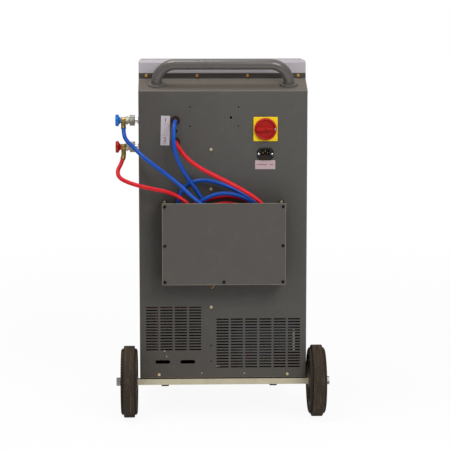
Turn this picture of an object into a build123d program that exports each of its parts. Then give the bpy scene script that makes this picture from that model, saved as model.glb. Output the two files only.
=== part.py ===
from build123d import *
import math
import os

os.makedirs("parts", exist_ok=True)

# Driving dimensions in millimetres: the rear of the cabinet faces -Y and the floor is Z = 0
cabinet_width = 510.0
cabinet_depth = 450.0
cabinet_bottom = 123.5
sheet = 2.0
rear_bend_z = 1003.0
slope_depth = 78.0
slope_rise = 32.0
top_flange_height = 18.5
flange_corner_radius = 8.0
return_width = 22.0
return_top_drop = 12.0
corner_radius = 4.0
touch_gap = 0.3
running_gap = 0.05

# Wheels and axle
wheel_radius = 110.0
wheel_width = 50.0
tread_width = 33.0
tread_step = 12.0
rim_radius = 78.0
rim_wall = 12.0
hub_boss_radius = 22.0
wheel_side_gap = 8.0
axle_inset = 12.0
axle_bar = 18.0
axle_radius = 9.0
axle_thread_radius = 8.0
washer_radius = 15.5
washer_thickness = 2.5
axle_nut_size = 11.5
axle_nut_thickness = 12.0
axle_end_inset = 1.0
axle_lug_x = 200.0
axle_lug_width = 60.0
axle_lug_thickness = 4.0

# Console on top of the cabinet
console_height = 40.0
console_flat = 135.0
console_overhang = 20.0
console_wall = 4.0
console_lip = 17.0
console_nose = 52.0
fascia_angle = 23.9
console_edge_radius = 9.0
console_chamfer = 9.0
cover_depth = 30.0
cover_wall = 3.0
cover_edge_radius = 12.0

# Places that follow from the driving dimensions
overall_depth = wheel_radius - axle_inset + cabinet_depth + console_overhang
rear_y = wheel_radius - axle_inset - overall_depth / 2
front_y = rear_y + cabinet_depth
body_front_y = front_y - cover_depth
half_width = cabinet_width / 2
side_inner_x = half_width - sheet
slope_angle = math.degrees(math.atan2(slope_rise, slope_depth))
slope_top_z = rear_bend_z + slope_rise
flange_top_z = slope_top_z + top_flange_height
return_top_z = rear_bend_z - return_top_drop
flange_y = rear_y + slope_depth
console_rear_y = flange_y + sheet
console_top_z = flange_top_z + console_height
console_bend_y = console_rear_y + console_flat
console_front_y = front_y + console_overhang
fascia_slope = math.tan(math.radians(fascia_angle))
console_seat_front_z = flange_top_z - (front_y - console_bend_y) * fascia_slope
console_front_top_z = console_top_z - (console_front_y - console_bend_y) * fascia_slope
pan_top_z = cabinet_bottom + sheet
axle_y = rear_y + axle_inset
axle_z = wheel_radius
wheel_x = half_width + wheel_side_gap + wheel_width / 2


def rear_plane(out=0.0):
    """Plane parallel to the rear panel, out millimetres behind it, facing the rear."""
    return Plane.XZ.offset(out - rear_y)


def save(builder, name):
    """Label a finished piece and write it to its own file."""
    builder.part.label = name
    export_step(builder.part, f"parts/{name}.step")


# Rear panel features, as X and Z of their centres
vent_slot_length = 38.0
vent_slot_width = 4.2
vent_pitch_x = 43.8
vent_pitch_z = 8.74
left_vent_centre = (-151.6, 277.2)
left_vent_columns = 4
left_vent_rows = 16
right_vent_centre = (107.6, 230.9)
right_vent_columns = 6
right_vent_rows = 18
oblong_centres = ((-185.3, 173.3), (-108.7, 173.3))
oblong_length = 45.5
oblong_height = 11.0
accessory_centre = (-26.3, 925.3)
accessory_spacing_x = 145.4
accessory_spacing_z = 58.0
accessory_hole_radius = 2.1
knockout_centre = (23.8, 922.6)
knockout_radius = 3.8
pair_centre = (-37.1, 199.2)
pair_spacing = 48.4
pair_hole_radius = 2.5
port_x = -143.5
port_low_z = 914.0
port_spacing = 32.0
port_hole_radius = 10.5
port_ring_radius = 14.0
port_ring_thickness = 4.0
port_neck_length = 9.0
port_neck_radius = 9.6
switch_centre = (128.0, 887.5)
switch_plate_size = 73.0
switch_plate_thickness = 4.0
switch_neck_radius = 15.0
inlet_centre = (127.7, 812.0)
inlet_width = 50.0
inlet_height = 37.0
inlet_flange_thickness = 3.0
inlet_body_width = 30.0
inlet_body_height = 31.0
inlet_body_depth = 30.0
inlet_screw_spacing = 40.0
column_x = -36.7
column_screw_zs = (825.8, 705.5, 585.0, 343.5)
base_screw_x = 197.0
base_screw_z = 133.7
flange_screw_xs = (-232.0, -77.0, 77.0, 232.0)
flange_screw_z = 1045.5
screw_radius = 2.0
screw_hole_radius = 2.3
screw_head_radius = 4.6
screw_head_height = 2.6
screw_length = 9.0

# Hose tray on the rear panel
tray_half_width = 185.0
tray_depth = 85.0
tray_bottom = 425.5
tray_top = 672.0
tray_flange = 18.0
tray_fixing_x = 178.0
tray_fixing_zs = (tray_top - 6.5, tray_bottom + 14.5)
tray_screw_x = 177.0
tray_screw_zs = (tray_top - 10.2, 543.8, tray_bottom + 9.0)

port_zs = (port_low_z, port_low_z - port_spacing, port_low_z - 2 * port_spacing)
column_screws = [(column_x, z) for z in column_screw_zs]
base_screws = [(-base_screw_x, base_screw_z), (base_screw_x, base_screw_z)]
tray_fixings = [(x, z) for x in (-tray_fixing_x, tray_fixing_x) for z in tray_fixing_zs]
flange_screws = [(x, flange_screw_z) for x in flange_screw_xs]
inlet_screws = [(inlet_centre[0] + s * inlet_screw_spacing / 2, inlet_centre[1]) for s in (-1, 1)]

# Rear panel: one folded sheet with returned sides, a slope at the top and a standing flange
with BuildPart() as rear_panel:
    with BuildSketch(Plane.XY.offset(cabinet_bottom)):
        with BuildLine():
            FilletPolyline(
                (-half_width, rear_y + return_width),
                (-half_width, rear_y),
                (half_width, rear_y),
                (half_width, rear_y + return_width),
                radius=corner_radius,
            )
            offset(amount=sheet, side=Side.LEFT)
        make_face()
    extrude(amount=return_top_z - touch_gap - cabinet_bottom)
    with BuildSketch(Plane.YZ):
        with BuildLine():
            FilletPolyline(
                (rear_y, return_top_z - touch_gap),
                (rear_y, rear_bend_z),
                (flange_y, slope_top_z),
                (flange_y, flange_top_z),
                radius=corner_radius,
            )
            offset(amount=sheet, side=Side.RIGHT)
        make_face()
    extrude(amount=half_width, both=True)
    fillet(rear_panel.edges().filter_by(Axis.Y).group_by(Axis.Z)[-1], radius=flange_corner_radius)
    with BuildSketch(rear_plane()):
        with Locations(left_vent_centre):
            with GridLocations(vent_pitch_x, vent_pitch_z, left_vent_columns, left_vent_rows):
                SlotOverall(vent_slot_length, vent_slot_width)
        with Locations(right_vent_centre):
            with GridLocations(vent_pitch_x, vent_pitch_z, right_vent_columns, right_vent_rows):
                SlotOverall(vent_slot_length, vent_slot_width)
        with Locations(*oblong_centres):
            SlotOverall(oblong_length, oblong_height)
        with Locations(accessory_centre):
            with GridLocations(accessory_spacing_x, accessory_spacing_z, 2, 2):
                Circle(accessory_hole_radius)
        with Locations(knockout_centre):
            Circle(knockout_radius)
        with Locations(pair_centre):
            with GridLocations(0, pair_spacing, 1, 2):
                Circle(pair_hole_radius)
        with Locations(*[(port_x, z) for z in port_zs]):
            Circle(port_hole_radius)
        with Locations(switch_centre):
            Circle(switch_neck_radius + touch_gap)
        with Locations(inlet_centre):
            Rectangle(inlet_body_width + 2 * touch_gap, inlet_body_height + 2 * touch_gap)
        with Locations(*column_screws, *base_screws, *tray_fixings, *inlet_screws):
            Circle(screw_hole_radius)
    extrude(amount=-sheet, mode=Mode.SUBTRACT)
    with BuildSketch(rear_plane(-slope_depth)):
        with Locations(*flange_screws):
            Circle(screw_hole_radius)
    extrude(amount=-sheet, mode=Mode.SUBTRACT)
save(rear_panel, "rear_panel")


def side_outline(rear_edge, lower_edge, front_edge):
    """Outline of a cabinet side in Y and Z, with the slope and the console's seat at its top."""
    slope = math.tan(math.radians(slope_angle))
    drop = sheet / math.cos(math.radians(slope_angle)) + touch_gap
    return [
        (rear_edge, lower_edge),
        (rear_edge, return_top_z),
        (rear_y + sheet + touch_gap, return_top_z),
        (rear_y + sheet + touch_gap, rear_bend_z + sheet * slope - drop),
        (flange_y + sheet + touch_gap, slope_top_z + sheet * slope - drop),
        (flange_y + sheet + touch_gap, flange_top_z),
        (console_bend_y, flange_top_z),
        (front_edge, flange_top_z - fascia_slope * (front_edge - console_bend_y)),
        (front_edge, lower_edge),
    ]


# Cabinet sides: flat sheets whose rear edges are joggled behind the rear panel's returns
joggle_width = 14.0
joggle_inset = 80.0
side_flange = 20.0
side_flange_top = 820.0
side_sheets = {}
for side_name, side in (("left", -1), ("right", 1)):
    with BuildPart() as side_panel:
        with BuildSketch(Plane.YZ.offset(side * (half_width - sheet / 2))):
            Polygon(
                *side_outline(rear_y + return_width + touch_gap, cabinet_bottom, body_front_y),
                align=None,
            )
        extrude(amount=sheet / 2, both=True)
        with BuildSketch(Plane.YZ.offset(side * (side_inner_x - sheet / 2))):
            with Locations((rear_y + return_width, (pan_top_z + rear_bend_z) / 2)):
                Rectangle(2 * joggle_width, rear_bend_z - pan_top_z - 2 * joggle_inset)
        extrude(amount=sheet / 2, both=True)
        with BuildSketch(Plane.XZ.offset(-body_front_y)):
            with Locations((side * (side_inner_x - side_flange / 2), (cabinet_bottom + side_flange_top) / 2)):
                Rectangle(side_flange, side_flange_top - cabinet_bottom - 2 * joggle_inset)
        extrude(amount=sheet)
    side_sheets[side_name] = side_panel
save(side_sheets["left"], "left_side_panel")
save(side_sheets["right"], "right_side_panel")

# Base pan: folded sheet that carries the wheels, the castors and the machinery
pan_flange = 24.0
pan_half_width = side_inner_x
with BuildPart() as base_pan:
    pan_depth = body_front_y - rear_y - sheet
    pan_centre_y = (body_front_y + rear_y + sheet) / 2
    with BuildSketch(Plane.XY.offset(cabinet_bottom)):
        with Locations((0, pan_centre_y)):
            RectangleRounded(2 * pan_half_width, pan_depth, corner_radius)
    extrude(amount=sheet + pan_flange)
    with BuildSketch(Plane.XY.offset(pan_top_z)):
        with Locations((0, pan_centre_y)):
            RectangleRounded(2 * (pan_half_width - sheet), pan_depth - 2 * sheet, corner_radius - sheet)
    extrude(amount=sheet + pan_flange, mode=Mode.SUBTRACT)
    with BuildSketch(rear_plane()):
        with Locations(*base_screws):
            Circle(screw_hole_radius)
    extrude(amount=-3 * sheet, mode=Mode.SUBTRACT)
    lug_rear_y = axle_y + axle_bar / 2
    lug_height = cabinet_bottom - axle_z + axle_bar / 2
    for lug_x in (-axle_lug_x, axle_lug_x):
        with BuildSketch(Plane.XY.offset(cabinet_bottom)):
            with Locations((lug_x, lug_rear_y + axle_lug_thickness / 2)):
                Rectangle(axle_lug_width, axle_lug_thickness)
        extrude(amount=-lug_height)
save(base_pan, "base_pan")

# Upright sheet inside that the machinery is fixed to, screwed to the rear panel along its flange
partition_flange = 25.0
partition_depth = 170.0
partition_top = 985.0
partition_foot_z = pan_top_z + pan_flange + sheet / 2
with BuildPart() as mid_partition:
    web_x = column_x - partition_flange / 2
    with BuildSketch(rear_plane(-sheet)):
        with Locations((column_x, (partition_foot_z + partition_top) / 2)):
            Rectangle(partition_flange, partition_top - partition_foot_z)
    extrude(amount=-sheet)
    with BuildSketch(Plane.YZ.offset(web_x)):
        with Locations((rear_y + sheet, partition_foot_z)):
            Rectangle(partition_depth, partition_top - partition_foot_z, align=(Align.MIN, Align.MIN))
        with Locations((rear_y + 3 * sheet, pan_top_z)):
            Rectangle(
                partition_depth - 2 * sheet, partition_foot_z - pan_top_z, align=(Align.MIN, Align.MIN)
            )
    extrude(amount=sheet)
    with BuildSketch(rear_plane()):
        with Locations(*column_screws):
            Circle(screw_hole_radius)
        with Locations(pair_centre):
            with GridLocations(0, pair_spacing, 1, 2):
                Circle(pair_hole_radius)
    extrude(amount=-3 * sheet, mode=Mode.SUBTRACT)
save(mid_partition, "mid_partition")

# Front cover: a plastic moulding with a bay for the oil bottles and air slots near its foot
bay_width = 320.0
bay_bottom = 620.0
bay_top = 850.0
bay_depth = 78.0
cover_slot_count = 7
cover_slot_pitch = 16.0
cover_slot_length = 300.0
cover_slot_z = 240.0
with BuildPart() as front_cover:
    cover_top = side_outline(rear_y, cabinet_bottom, front_y)[-2][1]
    cover_rear_top = side_outline(rear_y, cabinet_bottom, body_front_y)[-2][1]
    with BuildSketch(Plane.YZ):
        Polygon(
            (body_front_y, cabinet_bottom),
            (body_front_y, cover_rear_top),
            (front_y, cover_top),
            (front_y, cabinet_bottom),
            align=None,
        )
    extrude(amount=half_width, both=True)
    front_edges = front_cover.edges().group_by(Axis.Y)[-1]
    fillet(front_edges.filter_by(Axis.Z), radius=cover_edge_radius)
    fillet(
        front_cover.faces().sort_by(Axis.Z)[0].edges().group_by(Axis.Y)[-1], radius=cover_edge_radius / 2
    )
    with BuildSketch(Plane.YZ):
        Polygon(
            (body_front_y, cabinet_bottom + cover_wall),
            (body_front_y, cover_rear_top - cover_wall),
            (front_y - cover_wall, cover_top - cover_wall),
            (front_y - cover_wall, cabinet_bottom + cover_wall),
            align=None,
        )
    extrude(amount=half_width - 2 * cover_wall, both=True, mode=Mode.SUBTRACT)
    with BuildSketch(Plane.XZ.offset(-front_y)):
        with Locations((0, (bay_bottom + bay_top) / 2)):
            RectangleRounded(
                bay_width + 2 * cover_wall, bay_top - bay_bottom + 2 * cover_wall, cover_edge_radius
            )
    extrude(amount=bay_depth + cover_wall)
    with BuildSketch(Plane.XZ.offset(-front_y)):
        with Locations((0, (bay_bottom + bay_top) / 2)):
            RectangleRounded(bay_width, bay_top - bay_bottom, cover_edge_radius - cover_wall)
    extrude(amount=bay_depth, mode=Mode.SUBTRACT)
    with BuildSketch(Plane.XZ.offset(-front_y)):
        with Locations((0, cover_slot_z)):
            with GridLocations(0, cover_slot_pitch, 1, cover_slot_count):
                SlotOverall(cover_slot_length, cover_slot_pitch / 2)
    extrude(amount=2 * cover_wall, mode=Mode.SUBTRACT)
save(front_cover, "front_cover")

# Three oil bottles that stand in the bay, each with a screwed cap
bottle_radius = 30.0
bottle_height = 165.0
bottle_pitch = 100.0
bottle_neck_radius = 14.0
cap_radius = 19.0
cap_height = 24.0
cap_edge = 2.0
bottle_foot_edge = 3.0
bottle_shoulder_drop = 18.0
bottle_neck_height = 4.0
bottle_y = front_y - bay_depth / 2 - cap_edge
neck_top = bay_bottom + bottle_height
with BuildPart() as oil_bottles:
    for bottle_x in (-bottle_pitch, 0, bottle_pitch):
        bottle_axis = Axis((bottle_x, bottle_y, bay_bottom), (0, 0, 1))
        with BuildSketch(Plane.XZ.offset(-bottle_y)):
            with BuildLine():
                Polyline(
                    (bottle_x, bay_bottom),
                    (bottle_x + bottle_radius - bottle_foot_edge, bay_bottom),
                    (bottle_x + bottle_radius, bay_bottom + bottle_foot_edge),
                    (bottle_x + bottle_radius, neck_top - bottle_shoulder_drop),
                    (bottle_x + bottle_neck_radius, neck_top - bottle_neck_height),
                    (bottle_x + bottle_neck_radius, neck_top),
                    (bottle_x + cap_radius, neck_top),
                    (bottle_x + cap_radius, neck_top + cap_height - cap_edge),
                    (bottle_x + cap_radius - cap_edge, neck_top + cap_height),
                    (bottle_x, neck_top + cap_height),
                    close=True,
                )
            make_face()
        revolve(axis=bottle_axis)
save(oil_bottles, "oil_bottles")

# Console housing: a plastic hood with a flat rear part and a face that slopes down to the front
fascia_width = 420.0
fascia_height = 206.0
fascia_thickness = 3.0
fascia_ledge = 6.0
fascia_pocket = 2.0
fascia_mid_y = (console_bend_y + console_front_y) / 2
fascia_mid_z = console_top_z - (fascia_mid_y - console_bend_y) * fascia_slope
fascia_normal = (0, math.sin(math.radians(fascia_angle)), math.cos(math.radians(fascia_angle)))


def fascia_plane(height=0.0):
    """Plane of the sloped face, height millimetres above it, with its Y axis pointing up the slope."""
    face = Plane(origin=(0, fascia_mid_y, fascia_mid_z), x_dir=(-1, 0, 0), z_dir=fascia_normal)
    return face.offset(height)


with BuildPart() as console_housing:
    with BuildSketch(Plane.YZ):
        Polygon(
            (console_rear_y, flange_top_z),
            (console_rear_y, console_top_z - console_chamfer),
            (console_rear_y + console_chamfer, console_top_z),
            (console_bend_y, console_top_z),
            (console_front_y, console_front_top_z),
            (console_front_y, console_front_top_z - console_nose),
            (front_y + touch_gap, console_front_top_z - console_nose),
            (front_y + touch_gap, console_seat_front_z - touch_gap * fascia_slope),
            (console_bend_y, flange_top_z),
            align=None,
        )
    extrude(amount=half_width, both=True)
    hood_edges = console_housing.edges().filter_by(lambda e: e.center().Z > flange_top_z - 160)
    hood_sides = hood_edges.filter_by(lambda e: abs(abs(e.center().X) - half_width) < 1)
    hood_top = hood_sides.filter_by(
        lambda e: e.center().Z > console_front_top_z + 1 and e.center().Y > console_rear_y + 1
        and e.center().Z > flange_top_z - (e.center().Y - console_bend_y) * fascia_slope + 10
    )
    fillet(hood_top, radius=console_edge_radius)
    fillet(
        console_housing.edges().filter_by(GeomType.LINE).filter_by(Axis.X).sort_by(Axis.Z)[-2:],
        radius=console_edge_radius / 2,
    )
    with BuildSketch(Plane.YZ):
        Polygon(
            (console_rear_y + console_wall, flange_top_z - 1),
            (console_rear_y + console_wall, console_top_z - console_chamfer),
            (console_rear_y + console_chamfer, console_top_z - console_wall),
            (console_bend_y - console_wall / 4, console_top_z - console_wall),
            (console_front_y - console_wall, console_front_top_z - console_wall),
            (console_front_y - console_wall, console_front_top_z - console_nose + console_wall),
            (front_y - console_wall, console_front_top_z - console_nose + console_wall),
            (front_y - console_wall, console_seat_front_z - 8 * console_wall),
            (console_bend_y, flange_top_z - 8 * console_wall),
            (console_bend_y, flange_top_z - 1),
            align=None,
        )
    extrude(amount=half_width - console_edge_radius / 2, both=True, mode=Mode.SUBTRACT)
    with BuildSketch(fascia_plane()):
        RectangleRounded(fascia_width + 2 * touch_gap, fascia_height + 2 * touch_gap, corner_radius)
    extrude(amount=-fascia_pocket, mode=Mode.SUBTRACT)
    with BuildSketch(fascia_plane()):
        RectangleRounded(fascia_width - 2 * fascia_ledge, fascia_height - 2 * fascia_ledge, corner_radius)
    extrude(amount=-3 * console_wall, mode=Mode.SUBTRACT)
    with BuildSketch(Plane.XZ.offset(-console_rear_y)):
        with Locations((0, flange_top_z - console_lip / 2 + 1)):
            Rectangle(2 * (side_inner_x - sheet), console_lip + 2)
    extrude(amount=-console_wall)
    with BuildSketch(rear_plane()):
        with Locations(*flange_screws):
            Circle(screw_hole_radius)
    extrude(amount=-(slope_depth + 3 * console_wall), mode=Mode.SUBTRACT)
save(console_housing, "console_housing")

# Places on the fascia, in its own axes: X to the operator's right and Y up the slope
gauge_places = ((-138.0, 38.0), (138.0, 38.0))
gauge_radius = 42.0
gauge_body_radius = 38.0
gauge_body_depth = 34.0
gauge_bezel_height = 5.0
gauge_dial_depth = 5.0
gauge_lens_thickness = 2.0
gauge_lens_radius = 37.0
gauge_dial_radius = 35.0
needle_pin_radius = 2.0
needle_pin_gap = 1.0
needle_length = 28.0
window_place = (0.0, 50.0)
window_width = 150.0
window_height = 76.0
window_thickness = 2.5
window_rim = 4.0
window_corner = 3.0
key_places = {"stop_key": (-150.0, -58.0), "start_key": (-96.0, -58.0)}
key_radius = 13.0
key_height = 5.0
key_travel = 3.0
key_rim = 3.0
key_edge = 1.2
printer_place = (140.0, -54.0)
printer_width = 92.0
printer_height = 58.0
printer_depth = 44.0
printer_wall = 2.0
printer_slot_length = 60.0
printer_slot_width = 2.5
paper_core_radius = 6.0
printer_door_thickness = 3.0
hinge_pin_radius = 1.5
hinge_lug_width = 4.0
hinge_lug_wall = 1.5
hinge_lift = 1.0
paper_roll_radius = 22.0
paper_roll_length = 57.0
membrane_place = (20.0, -58.0)
membrane_width = 120.0
membrane_height = 62.0
membrane_thickness = 0.8
board_drop = 20.0
board_thickness = 1.6
board_margin_x = 8.0
board_margin_y = 5.0
chip_width = 22.0
chip_height = 14.0
chip_thickness = 4.0
chip_places = (-30.0, 25.0)
standoff_radius = 4.0

# Fascia: the plate that carries the display, the gauges, the keys and the printer's well
plate_top = fascia_thickness - fascia_pocket
door_axis_y = printer_place[1] + printer_height / 2 + hinge_pin_radius
with BuildPart() as console_fascia:
    with BuildSketch(fascia_plane(-fascia_pocket)):
        RectangleRounded(fascia_width, fascia_height, corner_radius)
    extrude(amount=fascia_thickness)
    with BuildSketch(fascia_plane(plate_top)):
        with Locations(*gauge_places):
            Circle(gauge_body_radius + touch_gap)
        with Locations(*key_places.values()):
            Circle(key_radius + touch_gap)
        with Locations(window_place):
            RectangleRounded(window_width - 2 * window_rim, window_height - 2 * window_rim, window_corner)
    extrude(amount=-2 * fascia_thickness, mode=Mode.SUBTRACT)
    with BuildSketch(fascia_plane(plate_top)):
        with Locations(window_place):
            RectangleRounded(window_width + touch_gap, window_height + touch_gap, window_corner)
    extrude(amount=-fascia_thickness / 2, mode=Mode.SUBTRACT)
    with BuildSketch(fascia_plane(-fascia_pocket)):
        with Locations(printer_place):
            Rectangle(printer_width + 2 * printer_wall, printer_height + 2 * printer_wall)
    extrude(amount=-printer_depth)
    with BuildSketch(fascia_plane(plate_top)):
        with Locations(printer_place):
            Rectangle(printer_width, printer_height)
    extrude(amount=-printer_depth, mode=Mode.SUBTRACT)
    with BuildSketch(fascia_plane(plate_top)):
        with Locations(membrane_place):
            RectangleRounded(membrane_width, membrane_height, corner_radius)
    extrude(amount=membrane_thickness)
    with BuildSketch(fascia_plane(-fascia_pocket)):
        with Locations(membrane_place):
            with GridLocations(membrane_width, membrane_height / 2, 2, 2):
                Circle(standoff_radius)
    extrude(amount=-board_drop)
    hinge_lug_x = printer_width / 2 - hinge_lug_width
    for lug_x in (-hinge_lug_x, hinge_lug_x):
        with BuildSketch(fascia_plane(plate_top)):
            with Locations((printer_place[0] + lug_x, door_axis_y)):
                Rectangle(hinge_lug_width, 2 * hinge_pin_radius + 2 * hinge_lug_wall)
        extrude(amount=2 * hinge_pin_radius + 2 * hinge_lift)
    hinge_origin = fascia_plane(plate_top + hinge_pin_radius + hinge_lift).from_local_coords(
        Vector(printer_place[0], door_axis_y, 0)
    )
    hinge_plane = Plane(origin=hinge_origin, x_dir=fascia_plane().y_dir, z_dir=(-1, 0, 0))
    with BuildSketch(hinge_plane):
        Circle(hinge_pin_radius)
    extrude(amount=printer_width, both=True, mode=Mode.SUBTRACT)
    with BuildSketch(hinge_plane):
        Circle(hinge_pin_radius)
    extrude(amount=hinge_lug_x, both=True)
save(console_fascia, "console_fascia")

# Printer door: a flap with knuckles around the hinge pin
door_side_gap = 7.0
knuckle_radius = hinge_pin_radius + 0.7
with BuildPart() as printer_door:
    with BuildSketch(fascia_plane(plate_top + touch_gap)):
        with Locations((printer_place[0], printer_place[1])):
            Rectangle(printer_width - 2 * door_side_gap, printer_height + 2 * hinge_pin_radius)
    extrude(amount=printer_door_thickness)
    with BuildSketch(hinge_plane):
        Circle(knuckle_radius)
    extrude(amount=printer_width / 2 - 2 * hinge_lug_width, both=True)
    with BuildSketch(fascia_plane(plate_top + touch_gap + printer_door_thickness)):
        with Locations((printer_place[0], printer_place[1] - printer_height / 4)):
            SlotOverall(printer_slot_length, printer_slot_width)
    extrude(amount=-2 * printer_door_thickness, mode=Mode.SUBTRACT)
    with BuildSketch(hinge_plane):
        Circle(hinge_pin_radius + running_gap)
    extrude(amount=printer_width, both=True, mode=Mode.SUBTRACT)
save(printer_door, "printer_door")

# Paper roll that lies in the printer's well
roll_centre = fascia_plane(plate_top - printer_depth + paper_roll_radius + touch_gap).from_local_coords(
    Vector(printer_place[0], printer_place[1], 0)
)
with BuildPart() as paper_roll:
    with BuildSketch(Plane(origin=roll_centre, x_dir=fascia_plane().y_dir, z_dir=(-1, 0, 0))):
        Circle(paper_roll_radius)
        Circle(paper_core_radius, mode=Mode.SUBTRACT)
    extrude(amount=paper_roll_length / 2, both=True)
save(paper_roll, "paper_roll")

# Display window and the two push keys
with BuildPart() as display_window:
    with BuildSketch(fascia_plane(plate_top - fascia_thickness / 2)):
        with Locations(window_place):
            RectangleRounded(window_width, window_height, window_corner)
    extrude(amount=window_thickness)
save(display_window, "display_window")
for key_name, key_place in key_places.items():
    with BuildPart() as push_key:
        with BuildSketch(fascia_plane(-fascia_pocket - touch_gap)):
            with Locations(key_place):
                Circle(key_radius + key_rim)
        extrude(amount=-fascia_pocket)
        with BuildSketch(fascia_plane(-fascia_pocket - touch_gap)):
            with Locations(key_place):
                Circle(key_radius)
        extrude(amount=fascia_thickness + key_height)
        top_face = push_key.faces().sort_by(Axis(fascia_plane().origin, fascia_plane().z_dir))[-1]
        fillet(top_face.edges(), radius=key_edge)
    save(push_key, key_name)

# Pressure gauges: a pair of cased dials, each with a needle on a pin and a lens
with BuildPart() as gauge_cases:
    with BuildSketch(fascia_plane(plate_top)):
        with Locations(*gauge_places):
            Circle(gauge_radius)
    extrude(amount=gauge_bezel_height)
    with BuildSketch(fascia_plane(plate_top)):
        with Locations(*gauge_places):
            Circle(gauge_body_radius)
    extrude(amount=-gauge_body_depth)
    with BuildSketch(fascia_plane(plate_top + gauge_bezel_height)):
        with Locations(*gauge_places):
            Circle(gauge_lens_radius)
    extrude(amount=-gauge_lens_thickness, mode=Mode.SUBTRACT)
    with BuildSketch(fascia_plane(plate_top + gauge_bezel_height - gauge_lens_thickness)):
        with Locations(*gauge_places):
            Circle(gauge_dial_radius)
    extrude(amount=-gauge_dial_depth, mode=Mode.SUBTRACT)
    dial_height = plate_top + gauge_bezel_height - gauge_lens_thickness - gauge_dial_depth
    with BuildSketch(fascia_plane(dial_height)):
        with Locations(*gauge_places):
            Circle(needle_pin_radius)
    extrude(amount=gauge_dial_depth - needle_pin_gap)
save(gauge_cases, "gauge_cases")
with BuildPart() as gauge_lenses:
    with BuildSketch(fascia_plane(plate_top + gauge_bezel_height - gauge_lens_thickness)):
        with Locations(*gauge_places):
            Circle(gauge_lens_radius)
    extrude(amount=gauge_lens_thickness)
save(gauge_lenses, "gauge_lenses")
needle_rest_angle = 225.0
needle_thickness = 1.2
needle_tail = 9.0
needle_width = 3.2
needle_tip_width = 0.8
needle_hub_radius = 5.0
for needle_name, needle_place in zip(("low_gauge_needle", "high_gauge_needle"), gauge_places):
    needle_pivot = fascia_plane(dial_height + touch_gap).from_local_coords(Vector(*needle_place, 0))
    needle_turn = math.radians(needle_rest_angle)
    pointing = fascia_plane().x_dir * math.cos(needle_turn) + fascia_plane().y_dir * math.sin(needle_turn)
    with BuildPart() as needle:
        with BuildSketch(Plane(origin=needle_pivot, x_dir=pointing, z_dir=fascia_normal)):
            with BuildLine():
                Polyline(
                    (-needle_tail, -needle_width / 2),
                    (needle_length, -needle_tip_width / 2),
                    (needle_length, needle_tip_width / 2),
                    (-needle_tail, needle_width / 2),
                    close=True,
                )
            make_face()
            Circle(needle_hub_radius)
            Circle(needle_pin_radius + running_gap, mode=Mode.SUBTRACT)
        extrude(amount=needle_thickness)
    save(needle, needle_name)

# Control board under the fascia
with BuildPart() as control_board:
    with BuildSketch(fascia_plane(-fascia_pocket - board_drop)):
        with Locations(membrane_place):
            Rectangle(membrane_width + 2 * board_margin_x, membrane_height + 2 * board_margin_y)
    extrude(amount=-board_thickness)
    with BuildSketch(fascia_plane(-fascia_pocket - board_drop)):
        with Locations(*[(membrane_place[0] + chip_x, membrane_place[1]) for chip_x in chip_places]):
            Rectangle(chip_width, chip_height)
    extrude(amount=chip_thickness)
save(control_board, "control_board")

# Handle: a bent tube welded to two round feet on the slope
handle_tube_radius = 16.0
handle_tube_wall = 2.0
handle_half_width = 200.0
handle_bend_radius = 58.0
handle_rise = 67.0
handle_foot_radius = 26.0
handle_foot_thickness = 5.0
handle_y = 40.0
handle_normal = (0, -math.sin(math.radians(slope_angle)), math.cos(math.radians(slope_angle)))
handle_base_z = rear_bend_z + handle_y * slope_rise / slope_depth
handle_plane = Plane(
    origin=(0, rear_y + handle_y, handle_base_z),
    x_dir=(1, 0, 0),
    z_dir=(0, -handle_normal[2], handle_normal[1]),
)
with BuildPart() as handle:
    with BuildLine(handle_plane) as handle_path:
        FilletPolyline(
            (-handle_half_width, touch_gap / 3),
            (-handle_half_width, handle_rise),
            (handle_half_width, handle_rise),
            (handle_half_width, touch_gap / 3),
            radius=handle_bend_radius,
        )
    with BuildSketch(Plane(origin=handle_path.wires()[0] @ 0, z_dir=handle_path.wires()[0] % 0)):
        Circle(handle_tube_radius)
        Circle(handle_tube_radius - handle_tube_wall, mode=Mode.SUBTRACT)
    sweep()
    foot_plane = Plane(
        origin=(0, rear_y + handle_y, handle_base_z), x_dir=(1, 0, 0), z_dir=handle_normal
    )
    with BuildSketch(foot_plane):
        with GridLocations(2 * handle_half_width, 0, 2, 1):
            Circle(handle_foot_radius)
            Circle(handle_tube_radius - handle_tube_wall / 2, mode=Mode.SUBTRACT)
    extrude(amount=handle_foot_thickness)
save(handle, "handle")

# Hose tray: a folded channel on the rear panel, open at the top, and the plate that closes it
with BuildPart() as hose_tray:
    with BuildSketch(rear_plane()):
        with BuildLine():
            Polyline(
                (-tray_half_width, tray_top),
                (-tray_half_width, tray_bottom),
                (tray_half_width, tray_bottom),
                (tray_half_width, tray_top),
            )
            offset(amount=sheet, side=Side.LEFT)
        make_face()
    extrude(amount=tray_depth - sheet)
    for flange_out in (0, tray_depth - 2 * sheet):
        with BuildSketch(rear_plane(flange_out)):
            with Locations((0, (tray_top + tray_bottom) / 2)):
                Rectangle(2 * tray_half_width, tray_top - tray_bottom)
            with Locations((0, (tray_top + tray_bottom) / 2 + tray_flange / 2)):
                Rectangle(
                    2 * (tray_half_width - tray_flange), tray_top - tray_bottom - tray_flange,
                    mode=Mode.SUBTRACT,
                )
        extrude(amount=sheet)
    with BuildSketch(rear_plane()):
        with Locations(*tray_fixings):
            Circle(screw_hole_radius)
    extrude(amount=sheet, mode=Mode.SUBTRACT)
    tray_screws_at = [(s * tray_screw_x, z) for s in (-1, 1) for z in tray_screw_zs]
    tray_screws_at.append((0.0, tray_screw_zs[-1]))
    with BuildSketch(rear_plane(tray_depth)):
        with Locations(*tray_screws_at):
            Circle(screw_hole_radius)
    extrude(amount=-2 * sheet - 1, mode=Mode.SUBTRACT)
save(hose_tray, "hose_tray")
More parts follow.
